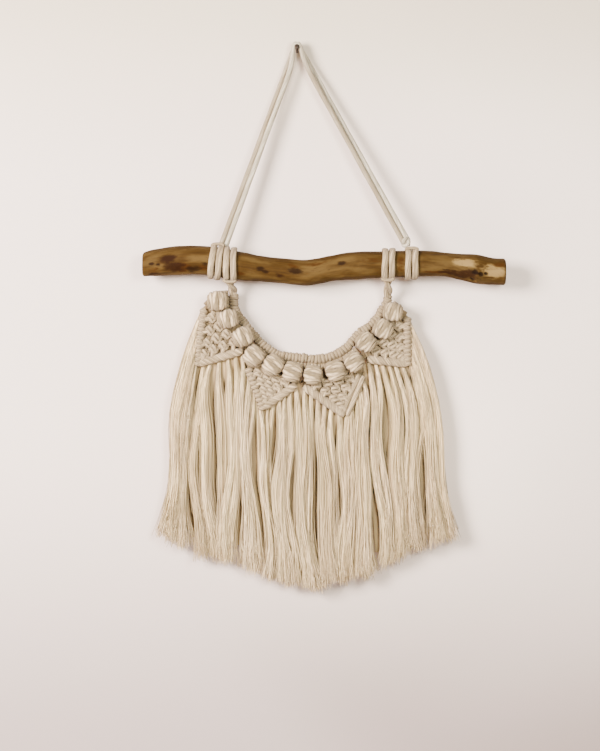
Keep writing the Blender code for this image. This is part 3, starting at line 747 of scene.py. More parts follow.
def hitching_recipe():
    """A hitch repeated along a line; its own x runs along the line, its y away from the front."""
    made = Recipe("hitches_along_a_line", {
        "Hitch": "Object", "Line": "Object", "Count": "Int", "Tilt": "Float", "Unevenness": "Float",
        "Seed": "Int", "Material": "Material"})
    curve = made.node("GeometryNodeMeshToCurve", {}, {"Mesh": made.shape_of("Line")})
    points = made.node("GeometryNodeCurveToPoints", {"mode": 'COUNT'}, {
        "Curve": curve, "Count": made.given("Count")})
    along = made.node("FunctionNodeAlignRotationToVector", {"axis": 'X'}, {"Vector": points.other("Tangent")})
    upright = made.node("FunctionNodeAlignRotationToVector", {"axis": 'Y', "pivot_axis": 'X'}, {
        "Rotation": along, "Vector": (0, 1, 0)})
    wobble = made.scale(made.random((-1, -1, -1), (1, 1, 1), 1, 'FLOAT_VECTOR'), made.given("Unevenness"))
    tilt = made.node("ShaderNodeCombineXYZ", {}, {"Y": made.given("Tilt")})
    turn = made.node("FunctionNodeRotateRotation", {"rotation_space": 'LOCAL'}, {
        "Rotation": upright, "Rotate By": made.vector('ADD', wobble, tilt)})
    size = 1 + made.random(-0.5, 0.5, 2) * made.given("Unevenness")
    hitches = made.node("GeometryNodeInstanceOnPoints", {}, {
        "Points": points, "Instance": made.shape_of("Hitch"), "Rotation": turn, "Scale": size})
    made.end(hitches)
    return made


def line_object(name, points, length=None):
    """A bare line through points, or lines of `length` points each, as an object for a recipe."""
    mesh = bpy.data.meshes.new(name)
    edges = [(n - 1, n) for n in range(1, len(points)) if n % (length or len(points))]
    mesh.from_pydata(np.asarray(points).tolist(), edges, [])
    return place_in_scene(name, mesh)


def drop(*objects):
    """Clears away templates once they have been used."""
    for used in objects:
        bpy.data.objects.remove(used, do_unlink=True)


def in_front(pairs, depth):
    """Points at a depth from pairs of x and z in millimetres."""
    pairs = np.asarray(pairs, float) * MM
    return np.stack([pairs[..., 0], np.full(pairs.shape[:-1], depth), pairs[..., 1]], -1)


RIM_LINE = spline(in_front(NECK_ROUTE, RIM_DEPTH), 12)


def ring_template(name, half_width, half_depth, radius, wave, material):
    """One turn of cord round a line along x, as wide in z and as deep in y as given."""
    turn = math.pi / 2 + np.arange(RING_STEPS) * math.tau / RING_STEPS
    path = np.stack([wave * np.cos(turn), half_depth * np.sin(turn), half_width * np.cos(turn)], 1)
    skin = Skin()
    lay_cord(skin, path, radius, radius, ALONG_BRANCH, RING_SIDES, True, relief=RING_RELIEF)
    return skin.piece(name, material)


def neck_skin():
    """The two heads, the cord along the neckline and the twisted arms that it hangs by."""
    skin = Skin()
    for x, lean in NECK_HEADS:
        lay_larks_head(skin, x * MM, lean * MM, LOW_FOLD_ANGLE)
    index = np.arange(len(RIM_LINE))
    narrowing = np.minimum(1, RIM_CORE_ENDS[0] + RIM_CORE_ENDS[1] * np.minimum(index, index[::-1]))
    lay_cord(skin, RIM_LINE, RIM_CORE * narrowing, RIM_CORE)
    for (x, _), rim_end in zip(NECK_HEADS, (RIM_LINE[3], RIM_LINE[-4])):
        start = np.array((x * MM, FOOT_DEPTH, branch_at(x * MM)[0] - wrap_radius(x * MM, math.pi)))
        share = np.linspace(0, 1, ARM_STATIONS)[:, None]
        side = unit(np.cross(rim_end - start, FRONT))
        out = np.cross(side, unit(rim_end - start))
        for half in (0, math.pi):
            angle = half + math.tau * ARM_TURNS * share
            swing = (side * np.cos(angle) + out * np.sin(angle)) * ARM_SWING
            lay_cord(skin, start + (rim_end - start) * share + swing, ARM_RADIUS, ARM_RADIUS, twist=ARM_TWIST)
    return skin


knot_cotton = spun_cotton("knotted_cotton_finish", (0.74, 0.535, 0.325, 1), (0.16, 0.11, 0.055, 1))
hitching = hitching_recipe()
neck = neck_skin().piece("neck_cord_with_hitches", cord_cotton.material)
rim_hitch = ring_template("rim_hitch", *RIM_HITCH_HALF, RIM_HITCH_CORD, RIM_HITCH_WAVE, cord_cotton.material)
rim_path = line_object("rim_path", RIM_LINE[2:-2])
hitching.grow(neck, Hitch=rim_hitch, Line=rim_path, Count=RIM_HITCHES, Tilt=0.0, Unevenness=RIM_UNEVENNESS,
              Seed=3, Material=cord_cotton.material)
drop(rim_hitch, rim_path)
fit(neck, "cotton_cord", "neck_cord")


# ---- Pennants -------------------------------------------------------------------------------
# Four knotted pennants side by side on the neckline. Each has three round berry knots, then
# square knots joined by slanting cords, all tied in the same soft cotton.
BERRY_DEPTH = -17.4 * MM
BERRIES_PER_PENNANT = 3
BERRIES = [  # x, z, in millimetres
    (-66.1, -208.6),
    (-56.8, -223.5),
    (-44.9, -238.5),
    (-35.7, -254.3),
    (-19.9, -261.8),
    (-3.8, -267.6),
    (13.3, -270.1),
    (32.0, -266.7),
    (47.4, -259.3),
    (57.3, -242.6),
    (71.5, -231.8),
    (79.8, -217.7),
]
BERRY_BANDS = [  # turns: height, half height, half width, half depth, cord's half thickness, arch, in mm
    (-6.8, 1.4, 4.4, 3.2, 1.5, 0.3),
    (-4.4, 1.7, 5.9, 4.3, 1.8, 0.2),
    (-0.6, 2.7, 6.3, 5.0, 2.1, -0.2),
    (2.8, 2.5, 6.1, 4.8, 2.1, 0.9),
    (5.6, 1.9, 5.1, 3.9, 1.8, 1.2),
]
BERRY_SQUARENESS = 2.6
BERRY_WAVER = 0.35
BERRY_STEPS = 40
BERRY_SIDES = 12
BERRY_TWIST = 60.0  # radians a metre
BERRY_RELIEF = 0.06
BERRY_FLANK_SHADE = 0.8
BERRY_FINENESS = 0.14
BERRY_LOOP_DEPTHS = (-2.4, 1.6)
BERRY_FILLING = (6.0, 5.0, 7.6)  # half width, half depth, half height, in millimetres
BERRY_FILLING_ROWS = 9
BERRY_FILLING_SIDES = 16
BERRY_FILLING_SHADE = 0.25
HOLLOW_MIDDLE = np.array((12.5 * MM, RIM_DEPTH, -203.0 * MM))  # the berries' tops point to it
BAR_DEPTH = -11.4 * MM
PENNANTS = [  # left bar's start, tip, right bar's start, each x and z in millimetres
    ((-77.2, -214.4), (-83.1, -260.9), (-44.9, -249.9)),
    ((-40.7, -264.2), (-28.3, -297.5), (-0.8, -278.0)),
    ((5.6, -279.4), (39.9, -303.3), (53.6, -270.1)),
    ((58.2, -257.0), (92.2, -260.9), (91.4, -221.7)),
]
KNOT_ROWS = (4, 3, 2, 1)
FIRST_ROW = 0.03
ROW_STEP = 0.23
ROW_INSET = 5.0 * MM
KNOT_SIZE = 0.74
KNOT_UNEVENNESS = 0.1
STRAND_RADIUS = 1.8 * MM
STRAND_TAIL = 2.0 * MM
STRAND_BOW = 1.3 * MM
STRAND_TWIST = 90.0  # radians a metre
STRAND_STATIONS = 12
LEAD_CORDS = (-7.1, -4.25, -1.4, 1.4, 4.25, 7.1)
LEAD_TAIL = 3.5 * MM
LEAD_GAP = 0.1 * MM
LEAD_HALF_WIDTH = 1.45 * MM
LEAD_HALF_DEPTH = 1.7 * MM
OUTER_LEAD_SHADE = 0.4
BACK_CORDS = 25
BACK_OVERLAP = 0.25
BACK_BAR_OVERLAP = 0.06
BACK_CORD_RADIUS = 1.7 * MM
BACK_DEPTH = -8.6 * MM
BACK_SHADE = 0.8


def tying_recipe():
    """Knots tied at places, whose points keep each knot's turn and size."""
    made = Recipe("knots_at_places", {
        "Knot": "Object", "Places": "Object", "Unevenness": "Float", "Seed": "Int", "Material": "Material"})
    wobble = made.scale(made.random((-1, -1, -1), (1, 1, 1), 1, 'FLOAT_VECTOR'), made.given("Unevenness"))
    turn = made.node("ShaderNodeCombineXYZ", {}, {"Y": made.kept("turn")})
    size = made.kept("size") * (1 + made.random(-0.5, 0.5, 2) * made.given("Unevenness"))
    knots = made.node("GeometryNodeInstanceOnPoints", {}, {
        "Points": made.shape_of("Places"), "Instance": made.shape_of("Knot"),
        "Rotation": made.vector('ADD', turn, wobble), "Scale": size})
    made.end(knots)
    return made


def places_object(name, middles, ups, sizes):
    """Bare points that keep where a knot's top points, as a turn from upright, and its size."""
    made = line_object(name, middles)
    keep_at_points(made.data, "turn", [math.atan2(up[0], up[2]) for up in ups])
    keep_at_points(made.data, "size", sizes)
    return made


def bow(start, middle, end, steps=5):
    """A short bent stretch through three points in millimetres."""
    return spline(np.array((start, middle, end), float) * MM, steps)


def berry_template(material):
    """A berry knot, its top towards z: wide turns of cord round a filling, with loops at the sides."""
    skin = Skin()
    turn = math.pi / 2 + np.arange(BERRY_STEPS) * math.tau / BERRY_STEPS
    across, deep = np.cos(turn), np.sin(turn)
    square = (abs(across) ** BERRY_SQUARENESS + abs(deep) ** BERRY_SQUARENESS) ** (-1 / BERRY_SQUARENESS)
    for height, half_height, half_width, half_depth, thick, arch in BERRY_BANDS:
        path = np.stack([half_width * across * square, half_depth * deep * square,
                         height + arch * deep ** 2 + BERRY_WAVER * np.cos(2 * turn + height)], 1) * MM
        lay_cord(skin, path, thick * MM, half_height * MM, (0, 0, 1), BERRY_SIDES, True, BERRY_TWIST,
                 BERRY_RELIEF, flank_shade=BERRY_FLANK_SHADE, fineness=BERRY_FINENESS)
    for side in (-1, 1):
        for depth in BERRY_LOOP_DEPTHS:
            loop = bow((side * 5.2, depth, 5.0), (side * 6.3, depth, 0.4), (side * 5.0, depth, -4.6), 6)
            lay_cord(skin, loop, 1.5 * MM, 1.7 * MM, sides=10, relief=0.08)
    turn = np.arange(BERRY_FILLING_SIDES) * math.tau / BERRY_FILLING_SIDES
    lift = np.linspace(-1, 1, BERRY_FILLING_ROWS) * math.pi / 2
    rings = np.stack([np.outer(np.cos(lift), np.cos(turn)), np.outer(np.cos(lift), np.sin(turn)),
                      np.outer(np.sin(lift), np.ones_like(turn))], 2) * BERRY_FILLING * MM
    strand = rings * (200, 200, 1)
    # The filling carries painted shade, where it shows between the turns.
    skin.add_rings(rings, {"strand": strand.reshape(-1, 3),
                           "shade": np.full(rings[..., 0].size, BERRY_FILLING_SHADE)})
    return skin.piece("berry_knot", material)


def square_knot_template(material):
    """A square knot, its top towards z: two bars across two upright cords, with loops at the sides."""
    skin = Skin()
    for side in (-1, 1):
        upright = bow((side * 1.6, 0, 5.6), (side * 1.4, -0.6, 0), (side * 1.6, 0, -5.6))
        # The uprights, half hidden behind the bars, carry painted shade, and all its cords have painted shade
        # on their flanks.
        lay_cord(skin, upright, 1.6 * MM, 1.6 * MM, sides=9, shade=0.5, flank_shade=1.0)
        for depth in (-1.2, 1.2):
            loop = bow((side * 2.6, depth, 4.2), (side * 4.4, depth, 0), (side * 2.6, depth, -4.2))
            lay_cord(skin, loop, 1.7 * MM, 1.6 * MM, sides=9, flank_shade=1.0)
        for face in (-1, 1):
            height, slant = 2.1 * side, 0.9 * face
            bar = bow((-4.2, slant, height - slant), (0, face * 3.1, height), (4.2, slant, height + slant))
            lay_cord(skin, bar, 1.7 * MM, 1.95 * MM, (0, 0, 1), sides=10, relief=0.1, flank_shade=1.0)
    return skin.piece("square_knot", material)


def lay_strand(skin, start, end):
    """A slack cord that swells and bows to the front between the knots that grip its ends."""
    along = unit(end - start)
    share = np.linspace(0, 1, STRAND_STATIONS)
    swell = np.sin(math.pi * share)
    path = start - along * STRAND_TAIL + (end - start + along * STRAND_TAIL) * share[:, None]
    path = path + FRONT * STRAND_BOW * swell[:, None]
    lay_cord(skin, path, STRAND_RADIUS * (0.8 + 0.35 * swell), STRAND_RADIUS * (0.8 + 0.2 * swell), sides=12,
             twist=STRAND_TWIST, relief=0.1)


def on_neckline(place):
    """The neckline's point nearest to a place, as seen from the front."""
    return RIM_LINE[np.argmin(np.hypot(*(RIM_LINE - place)[:, ::2].T))]


def lay_lead(skin, berry):
    """The cords that come off the neckline into the top of a berry knot."""
    heading = (on_neckline(berry) - berry) * (1, 0, 1)
    reach = np.linalg.norm(heading) - RIM_OUTER - LEAD_GAP
    heading = unit(heading)
    across = unit(np.cross(heading, FRONT))
    for place in LEAD_CORDS:
        path = berry + across * place * MM + heading * np.linspace(-LEAD_TAIL, reach, 6)[:, None]
        path = path + FRONT * (0.4 * math.cos(place) - 0.04 * place ** 2) * MM
        # The outer cords carry painted shade, in the gaps between berries.
        shade = OUTER_LEAD_SHADE if abs(place) == LEAD_CORDS[-1] else 0.0
        lay_cord(skin, path, LEAD_HALF_WIDTH, LEAD_HALF_DEPTH, sides=10, shade=shade)


def along_line(corners, share):
    """The point at a share of the length of a line through several corners."""
    corners = np.asarray(corners)
    far = np.concatenate([[0], np.cumsum(np.linalg.norm(np.diff(corners, axis=0), axis=1))])
    return np.array([np.interp(share * far[-1], far, corners[:, axis]) for axis in range(3)])


def lay_back_cords(skin, flat, bars):
    """The knots' idle cords, which fan out behind them from the neckline down to the bars. Their fronts carry
    painted shade, so the holes between the knots look dark.
    """
    ends = flat[0] + (flat[0] - flat[1]) * BACK_OVERLAP, flat[-1] + (flat[-1] - flat[-2]) * BACK_OVERLAP
    bar_ends = [bar + (bar - bars[1]) * BACK_BAR_OVERLAP for bar in (bars[0], bars[2])]
    for share in np.linspace(0, 1, BACK_CORDS):
        middle = along_line([ends[0], *flat, ends[1]], share)
        low = along_line([bar_ends[0], bars[1], bar_ends[1]], share)
        path = spline(np.stack([on_neckline(middle), middle, low]) * (1, 0, 1) + (0, BACK_DEPTH, 0), 4)
        lay_cord(skin, path, BACK_CORD_RADIUS, BACK_CORD_RADIUS, sides=8, shade=BACK_SHADE)


def knot_rows(left, tip, right):
    """Rows of places between the bars, one fewer in each row, so the knots alternate."""
    rows = []
    for row, count in enumerate(KNOT_ROWS):
        down = FIRST_ROW + ROW_STEP * row
        start, end = left + (tip - left) * down, right + (tip - right) * down
        inset = unit(end - start) * ROW_INSET
        start, end = start + inset, end - inset
        rows.append([start + (end - start) * (n + 0.5) / count for n in range(count)])
    return rows


tying = tying_recipe()
berry_knot = berry_template(knot_cotton.material)
square_knot = square_knot_template(knot_cotton.material)
for number, corners in enumerate(PENNANTS):
    own = BERRIES[number * BERRIES_PER_PENNANT:(number + 1) * BERRIES_PER_PENNANT]
    flat = in_front(own, BAR_DEPTH)
    left, tip, right = in_front(corners, BAR_DEPTH)
    fall = unit(tip - (left + right) / 2)
    rows = knot_rows(left, tip, right)
    skin = Skin()
    for point in flat:
        lay_lead(skin, point)
    for index, source in enumerate(flat):
        for knot in rows[0][index:index + 2]:
            lay_strand(skin, source, knot)
    for row, places in enumerate(rows):
        share = FIRST_ROW + ROW_STEP * (row + 0.8)
        lay_strand(skin, places[0], left + (tip - left) * share)
        lay_strand(skin, places[-1], right + (tip - right) * share)
    lay_back_cords(skin, flat, (left, tip, right))
    pennant = skin.piece(f"knotted_pennant_{number + 1}", knot_cotton.material)
    berry_places = places_object("berry_places", in_front(own, BERRY_DEPTH), HOLLOW_MIDDLE - flat,
                                 [1.0] * len(own))
    knots = [place for places in rows for place in places]
    knot_places = places_object("knot_places", knots, [-fall] * len(knots), [KNOT_SIZE] * len(knots))
    for template, places, seed in ((berry_knot, berry_places, 11), (square_knot, knot_places, 31)):
        tying.grow(pennant, Knot=template, Places=places, Unevenness=KNOT_UNEVENNESS, Seed=seed + number,
                   Material=knot_cotton.material)
    drop(berry_places, knot_places)
    fit(pennant, "cotton_knots", f"pennant_{number + 1}")
drop(berry_knot, square_knot)


# ---- Bars -----------------------------------------------------------------------------------
# Below each pennant two slanting rows of clove hitches meet in a V. Every knotting cord turns
# twice round a holding cord and drops out at the back.
BAR_CORE = 2.2 * MM
BAR_STATIONS = 40
BAR_TAPER = 0.35
HITCH_TURN = 2.15 * MM
HITCH_CORD = 1.65 * MM
HITCH_PITCH = 3.6 * MM
HITCH_TILT = math.radians(8)
HITCH_UNEVENNESS = 0.08
FIRST_HITCH = 0.06
ROPE_RADIUS = 3.5 * MM
ROPE_TWIST = 330.0  # radians a metre
PAIR_RADIUS = 2.3 * MM
PAIR_SPACING = 2.1 * MM
PAIR_TWIST = 60.0  # radians a metre
BAR_KINDS = [  # left bar, right bar
    ("ridged", "roped"),
    ("ridged", "roped"),
    ("roped", "paired"),
    ("roped", "ridged"),
]


def lay_bar(skin, start, tip, kind):
    """The cords of a bar: a core for separate hitches, hitches packed into a rope, or a pair."""
    share = np.linspace(0, 1, BAR_STATIONS)[:, None]
    path = start + (tip - start) * share
    taper = (1 - BAR_TAPER * np.abs(2 * share - 1) ** 8)[:, 0]
    if kind == "ridged":
        lay_cord(skin, path, BAR_CORE, BAR_CORE, sides=10)
    elif kind == "roped":
        lay_cord(skin, path, ROPE_RADIUS * taper, ROPE_RADIUS * taper, sides=24, twist=ROPE_TWIST, relief=0.2)
    else:
        apart = unit(np.cross(tip - start, FRONT)) * PAIR_SPACING
        for side in (-1, 1):
            lay_cord(skin, path + apart * side, PAIR_RADIUS * taper, PAIR_RADIUS * 1.2 * taper, sides=16,
                     twist=PAIR_TWIST, relief=0.1)


ridge_hitch = ring_template("ridge_hitch", HITCH_TURN, HITCH_TURN, HITCH_CORD, 0.0, knot_cotton.material)
for number, corners in enumerate(PENNANTS):
    left, tip, right = in_front(corners, BAR_DEPTH)
    skin = Skin()
    for start, kind in zip((left, right), BAR_KINDS[number]):
        lay_bar(skin, start, tip, kind)
    bars = skin.piece(f"hitched_bars_{number + 1}", knot_cotton.material)
    for start, way, kind in zip((left, right), (1, -1), BAR_KINDS[number]):
        if kind == "ridged":
            line = line_object("bar_line", [start + (tip - start) * FIRST_HITCH, tip])
            count = round(np.linalg.norm(tip - start) / HITCH_PITCH)
            hitching.grow(bars, Hitch=ridge_hitch, Line=line, Count=count, Tilt=way * HITCH_TILT,
                          Unevenness=HITCH_UNEVENNESS, Seed=number, Material=knot_cotton.material)
            drop(line)
    fit(bars, "cotton_knots", f"fringe_{number + 1}")
drop(ridge_hitch)


# ---- Fringe ---------------------------------------------------------------------------------
# Below the bars every cord is untwisted and combed out into a soft lock of fine fibres. The
# locks hang close together in fuller bundles, trimmed to a shallow curve with frayed ends.
LOCKS_PER_BAR = 6
BUNDLES = [  # cords; middle and half width halfway down, then at the tips; how far back; in millimetres
    (6, -98.7, 7.8, -101.8, 15.8, 0.0),
    (1, -84.3, 3.5, -79.0, 5.0, 2.0),
    (1, -75.7, 5.3, -69.8, 6.0, 0.0),
    (1, -64.2, 4.6, -62.3, 5.0, 3.0),
    (2, -53.2, 6.6, -56.5, 8.3, 0.0),
    (4, -39.9, 6.6, -36.6, 10.8, 0.8),
    (5, -26.9, 5.8, -22.4, 6.0, 1.6),
    (3, -12.5, 8.6, -5.8, 10.0, 0.0),
    (3, 7.1, 7.8, 11.2, 8.0, 0.6),
    (3, 24.4, 8.6, 25.8, 8.5, -0.6),
    (4, 40.7, 7.0, 41.6, 6.4, 0.6),
    (3, 54.8, 7.0, 58.2, 10.0, -0.4),
    (2, 68.7, 6.2, 74.0, 7.0, 1.0),
    (2, 81.4, 5.8, 85.6, 6.6, 0.0),
    (3, 97.2, 8.5, 98.9, 7.5, 0.8),
    (5, 114.7, 7.8, 118.8, 13.3, 0.0),
]
BUNDLE_ROUNDING = 2.6 * MM
LOCK_STATIONS = 26
LOCK_HALF_DEPTH = 3.4 * MM
ROOT_HALF_WIDTH = 1.4 * MM
ROOT_HALF_DEPTH = 1.7 * MM
BEHIND_BAR = -8.2 * MM
HANGING_DEPTH = -13.6 * MM
DEPTH_UNEVENNESS = 0.8 * MM
FORWARD_DROP = 24.0 * MM
FRINGE_MIDDLE = 7.5 * MM
FRINGE_HALF_WIDTH = 124.0 * MM
FRINGE_LOW = -451.5 * MM
FRINGE_SIDE_RISE = 42.0 * MM
FRINGE_HEM_POWER = 1.4
LOCK_BUNCHING = 1.35
SETTLE_DROP = 34.0 * MM
SETTLE_SLOPE = 3.0
WIDEN_DROP = 45.0 * MM
RAGGEDNESS = 4.5 * MM
BUNDLE_WANDER = 2.0 * MM
LOCK_WANDER = 0.85 * MM
CORE_SIDES = 14
CORE_SHARE = 0.55
CORE_LENGTH = 0.94
CORE_SHADE = 0.45
CORE_ENDING = 4  # stations over which it narrows
HEM_UNEVENNESS = [  # x, how much lower the trimmed edge hangs there, in millimetres
    (-114.0, -1.6),
    (-91.0, 0.0),
    (-79.0, 6.0),
    (-68.0, -2.0),
    (-48.0, -3.3),
    (-17.0, 0.0),
    (0.0, 0.0),
    (13.0, 6.0),
    (24.0, 0.0),
    (36.0, 2.0),
    (46.0, 4.5),
    (58.0, 4.5),
    (71.0, 3.5),
    (81.0, -1.0),
    (96.0, -3.5),
    (108.0, 0.0),
]
UNDER_STATIONS = 24
UNDER_DEPTH = -6.4 * MM
UNDER_RISE = 3.0 * MM
UNDER_HALF_WIDTH = 3.4 * MM
UNDER_HALF_DEPTH = 1.3 * MM
UNDER_SHADE = 0.85
UNDER_SIDES = 8
FIBRES_PER_LOCK = 151
FIBRE_STATIONS = 14
FIBRE_RADIUS = 0.29 * MM
FIBRE_MEANDER = 4.5 * MM
FIBRE_FRAY = 3.0 * MM
WISP_WAVES = (20, 20, 15)  # a metre
FIBRE_WAVES = (60, 60, 45)  # a metre
WISPS_PER_LOCK = 22
LOOSE_SHARE = 0.38
STRAY_SHARE = 0.07
USUAL_HALF_WIDTH = 3.55 * MM


def lock_guide(root, order):
    """A lock's middle line with its half width and half depth, from its bar to its cut end."""
    last = np.cumsum([bundle[0] for bundle in BUNDLES])
    number = int(np.searchsorted(last, order, 'right'))
    cords = BUNDLES[number][0]
    middle, reach, tip_middle, tip_reach, back = np.array(BUNDLES[number][1:]) * MM
    place = 2 * (order - last[number] + cords + 0.5) / cords - 1
    own = min(1, 0.25 + 0.8 / cords)  # one lock's share of its bundle's width
    share = np.linspace(0, 1, LOCK_STATIONS) ** LOCK_BUNCHING
    reach = reach + (tip_reach - reach) * smooth_share(share, 0.72, 1.05)
    hang = middle + (tip_middle - middle) * smooth_share(share, 0.45, 1.0)
    hang = hang + place * (1 - own) / max(1 - 1 / cords, 0.5) * reach
    hem_share = abs(hang[-1] - FRINGE_MIDDLE) / FRINGE_HALF_WIDTH
    tip_z = FRINGE_LOW + FRINGE_SIDE_RISE * hem_share ** FRINGE_HEM_POWER
    tip_z += RAGGEDNESS * abs(math.sin(2.4 * order)) - np.interp(hang[-1] / MM, *zip(*HEM_UNEVENNESS)) * MM
    drop_down = (root[2] - tip_z) * share
    settle_drop = SETTLE_DROP + SETTLE_SLOPE * abs(middle - root[0])
    settle = 1 - (1 - np.minimum(1, drop_down / settle_drop)) ** 2
    wander = BUNDLE_WANDER * (np.sin(1.9 * number + 4.1 * share) + 0.7 * np.sin(5.3 * number + 9.7 * share))
    wander += LOCK_WANDER * np.sin(3.1 * order + 11.3 * share)
    depth = HANGING_DEPTH + back + BUNDLE_ROUNDING * place ** 2 + DEPTH_UNEVENNESS * math.sin(2.1 * order)
    forward = smooth_share(drop_down, 0.1 * FORWARD_DROP, FORWARD_DROP)
    line = np.stack([root[0] + (hang - root[0] + wander) * settle,
                     BEHIND_BAR + (depth - BEHIND_BAR) * forward,
                     root[2] - drop_down], 1)
    grown = smooth_share(drop_down, 0, WIDEN_DROP)
    half_width = ROOT_HALF_WIDTH + (own * reach - ROOT_HALF_WIDTH) * grown
    half_depth = ROOT_HALF_DEPTH + (LOCK_HALF_DEPTH - ROOT_HALF_DEPTH) * grown
    return line, half_width, half_depth


def combing_recipe():
    """Fine fibres along every guide line, gathered into wisps and frayed towards their ends."""
    made = Recipe("combed_fibres", {
        "Guides": "Object", "Fibres": "Int", "Wisps": "Int", "Stations": "Int", "Radius": "Float",
        "Meander": "Float", "Fray": "Float", "Seed": "Int", "Material": "Material"})

    # Each guide line is copied once for each fibre, which keeps its own chance and length.
    curve = made.node("GeometryNodeMeshToCurve", {}, {"Mesh": made.shape_of("Guides")})
    curve = made.keep(curve, "lock", made.node("GeometryNodeInputIndex", {}, {}), 'CURVE')
    spread = made.node("GeometryNodeDuplicateElements", {"domain": 'SPLINE'}, {
        "Geometry": curve, "Amount": made.given("Fibres") * made.kept("fill")})
    spread = made.keep(spread, "chance", made.random((0, 0, 0), (1, 1, 1), 1, 'FLOAT_VECTOR'), 'CURVE',
                       'FLOAT_VECTOR')
    spread = made.keep(spread, "length", made.random(0.0, 1.0, 2), 'CURVE')

    # Every fibre belongs to one of its lock's wisps, whose fibres share another chance.
    own_chance = made.kept("chance", 'FLOAT_VECTOR')
    chance = made.parts(own_chance)
    which = made.math('FLOOR', chance.other("Z") * made.given("Wisps"))
    wisp = made.node("ShaderNodeCombineXYZ", {}, {
        "X": which, "Y": made.kept("lock"), "Z": made.given("Seed")})
    shared_chance = made.node("ShaderNodeTexWhiteNoise", {}, {"Vector": wisp}, "Color")
    wisp_chance = made.parts(shared_chance)

    # Some fibres are loose in their wisp and a few stray. All are cut to slightly different lengths.
    length = made.kept("length")
    loose = made.math('GREATER_THAN', length, 1 - LOOSE_SHARE)
    stray = made.math('GREATER_THAN', length, 1 - STRAY_SHARE)
    trimmed = made.node("GeometryNodeTrimCurve", {"mode": 'FACTOR'}, {
        0: spread, "End": 0.96 + length * 0.04 - wisp_chance.other("Z") * 0.05})
    laid = made.node("GeometryNodeResampleCurve", {"mode": 'COUNT'}, {
        "Curve": trimmed, "Count": made.given("Stations")})
    share = made.node("GeometryNodeSplineParameter", {}, {}, "Factor")

    def disc(turn, reach):
        """A place in the lock's section, by turn and reach from its middle."""
        angle = turn * math.tau
        return made.node("ShaderNodeCombineXYZ", {}, {
            "X": made.math('COSINE', angle) * reach, "Y": made.math('SINE', angle) * reach})

    def drift(stretch, chances, amount):
        """A slow sideways wander down the lock, alike for points with the same chances."""
        place = made.vector('MULTIPLY', made.node("GeometryNodeInputPosition", {}, {}), stretch)
        sample = made.vector('ADD', place, made.vector('MULTIPLY', chances, (9, 9, 9)))
        wave = made.node("ShaderNodeTexNoise", {}, {"Vector": sample, "Scale": 1.0, "Detail": 1.0}, "Color")
        wave = made.vector('MULTIPLY', made.vector('SUBTRACT', wave, (0.5, 0.5, 0.5)), (1, 0.6, 0.0))
        return made.scale(wave, amount)

    # A fibre lies at its own place in its wisp, and the wisp at its place in the lock.
    tight = 0.08 + 0.10 * wisp_chance.other("Y")
    own = disc(chance.other("X"), chance.other("Y") ** 0.5 * (tight + 0.35 * loose + 0.45 * share ** 6))
    shared = disc(wisp_chance.other("X"), (0.5 + 0.5 * wisp_chance.other("Y") ** 0.5) * (1 - tight))
    across = made.vector('ADD', own, shared)
    offset = made.vector('MULTIPLY', across, made.kept("half", 'FLOAT_VECTOR'))
    together = drift(WISP_WAVES, shared_chance, made.given("Meander") * (share ** 0.6 + 3.0 * share ** 7))
    alone = drift(FIBRE_WAVES, own_chance,
                  made.given("Fray") * (0.4 + stray * share * 2.5 + 2.2 * share ** 9))
    moved = made.vector('ADD', offset, made.vector('ADD', together, alone))
    laid = made.node("GeometryNodeSetPosition", {}, {"Geometry": laid, "Offset": moved})

    # Ends and stray fibres are thinner. Painted light and shade make a lock darker inside and at its flanks,
    # above all the right one, and lighter at its ends.
    thin = made.given("Radius") * (1 - 0.5 * share ** 6) * (0.7 + 0.6 * chance.other("Y")) * (1 - 0.4 * stray)
    laid = made.node("GeometryNodeSetCurveRadius", {}, {"Curve": laid, "Radius": thin})
    hue = made.node("ShaderNodeTexWhiteNoise", {"noise_dimensions": '1D'}, {"W": made.kept("lock")})
    sideways = made.parts(across)
    to_back = sideways.other("Y")
    outward = made.math('MAXIMUM', 0.5 - 0.5 * to_back, 0.85 * to_back)
    right = made.math('MAXIMUM', sideways, 0.0)
    lit = outward - 0.5 * sideways * sideways - 0.5 * right + 0.35 * share ** 6
    tones_and_shades = made.node("ShaderNodeCombineXYZ", {}, {
        "X": 0.25 * length + 0.75 * lit, "Y": hue, "Z": wisp_chance.other("X")})
    laid = made.keep(laid, "fibre", tones_and_shades, 'POINT', 'FLOAT_VECTOR')

    # A three-sided skin over each fibre.
    profile = made.node("GeometryNodeCurvePrimitiveCircle", {"mode": 'RADIUS'}, {
        "Resolution": 3, "Radius": 1.0})
    made.end(made.node("GeometryNodeCurveToMesh", {}, {
        "Curve": laid, "Profile Curve": profile, "Scale": made.node("GeometryNodeInputRadius", {}, {}),
        "Fill Caps": True}))
    return made


def combed_finish():
    """Fibres with painted light and shade, lighter the further out they lie in a lock and darker in fine
    lines between them.
    """
    made = Finish("combed_cotton_finish", {"Roughness": 0.95, "Sheen Weight": 0.1, "Sheen Roughness": 0.5,
                                           "Specular IOR Level": 0.25})
    fibre = made.parts(made.attribute("fibre"))
    lines = made.grain(made.object_place(), (650, 650, 28), 3.0, 0.65)
    patches = made.grain(made.object_place(), (60, 60, 14), 2.0)
    tone_and_shade = fibre.other("X") * 0.65 + fibre.other("Z") * 0.35
    light = made.mix(fibre.other("Y"), (0.92, 0.69, 0.42, 1), (0.70, 0.50, 0.28, 1))
    colour = made.mix(made.step(tone_and_shade, 0.26, 0.84), (0.28, 0.19, 0.095, 1), light)
    colour = made.mix(made.step(lines, 0.4, 0.62) * 0.7, colour, (0.30, 0.205, 0.105, 1))
    colour = made.mix(made.step(patches, 0.35, 0.6) * 0.2, colour, (0.66, 0.50, 0.23, 1))
    # Painted shade that the mesh keeps, on the cores and on the strips behind the gaps.
    colour = made.mix(made.attribute("shade", "Fac"), colour, (0.44, 0.29, 0.145, 1))
    made.drive("Base Color", colour)
    made.bump(lines, 0.3 * MM)
    return made


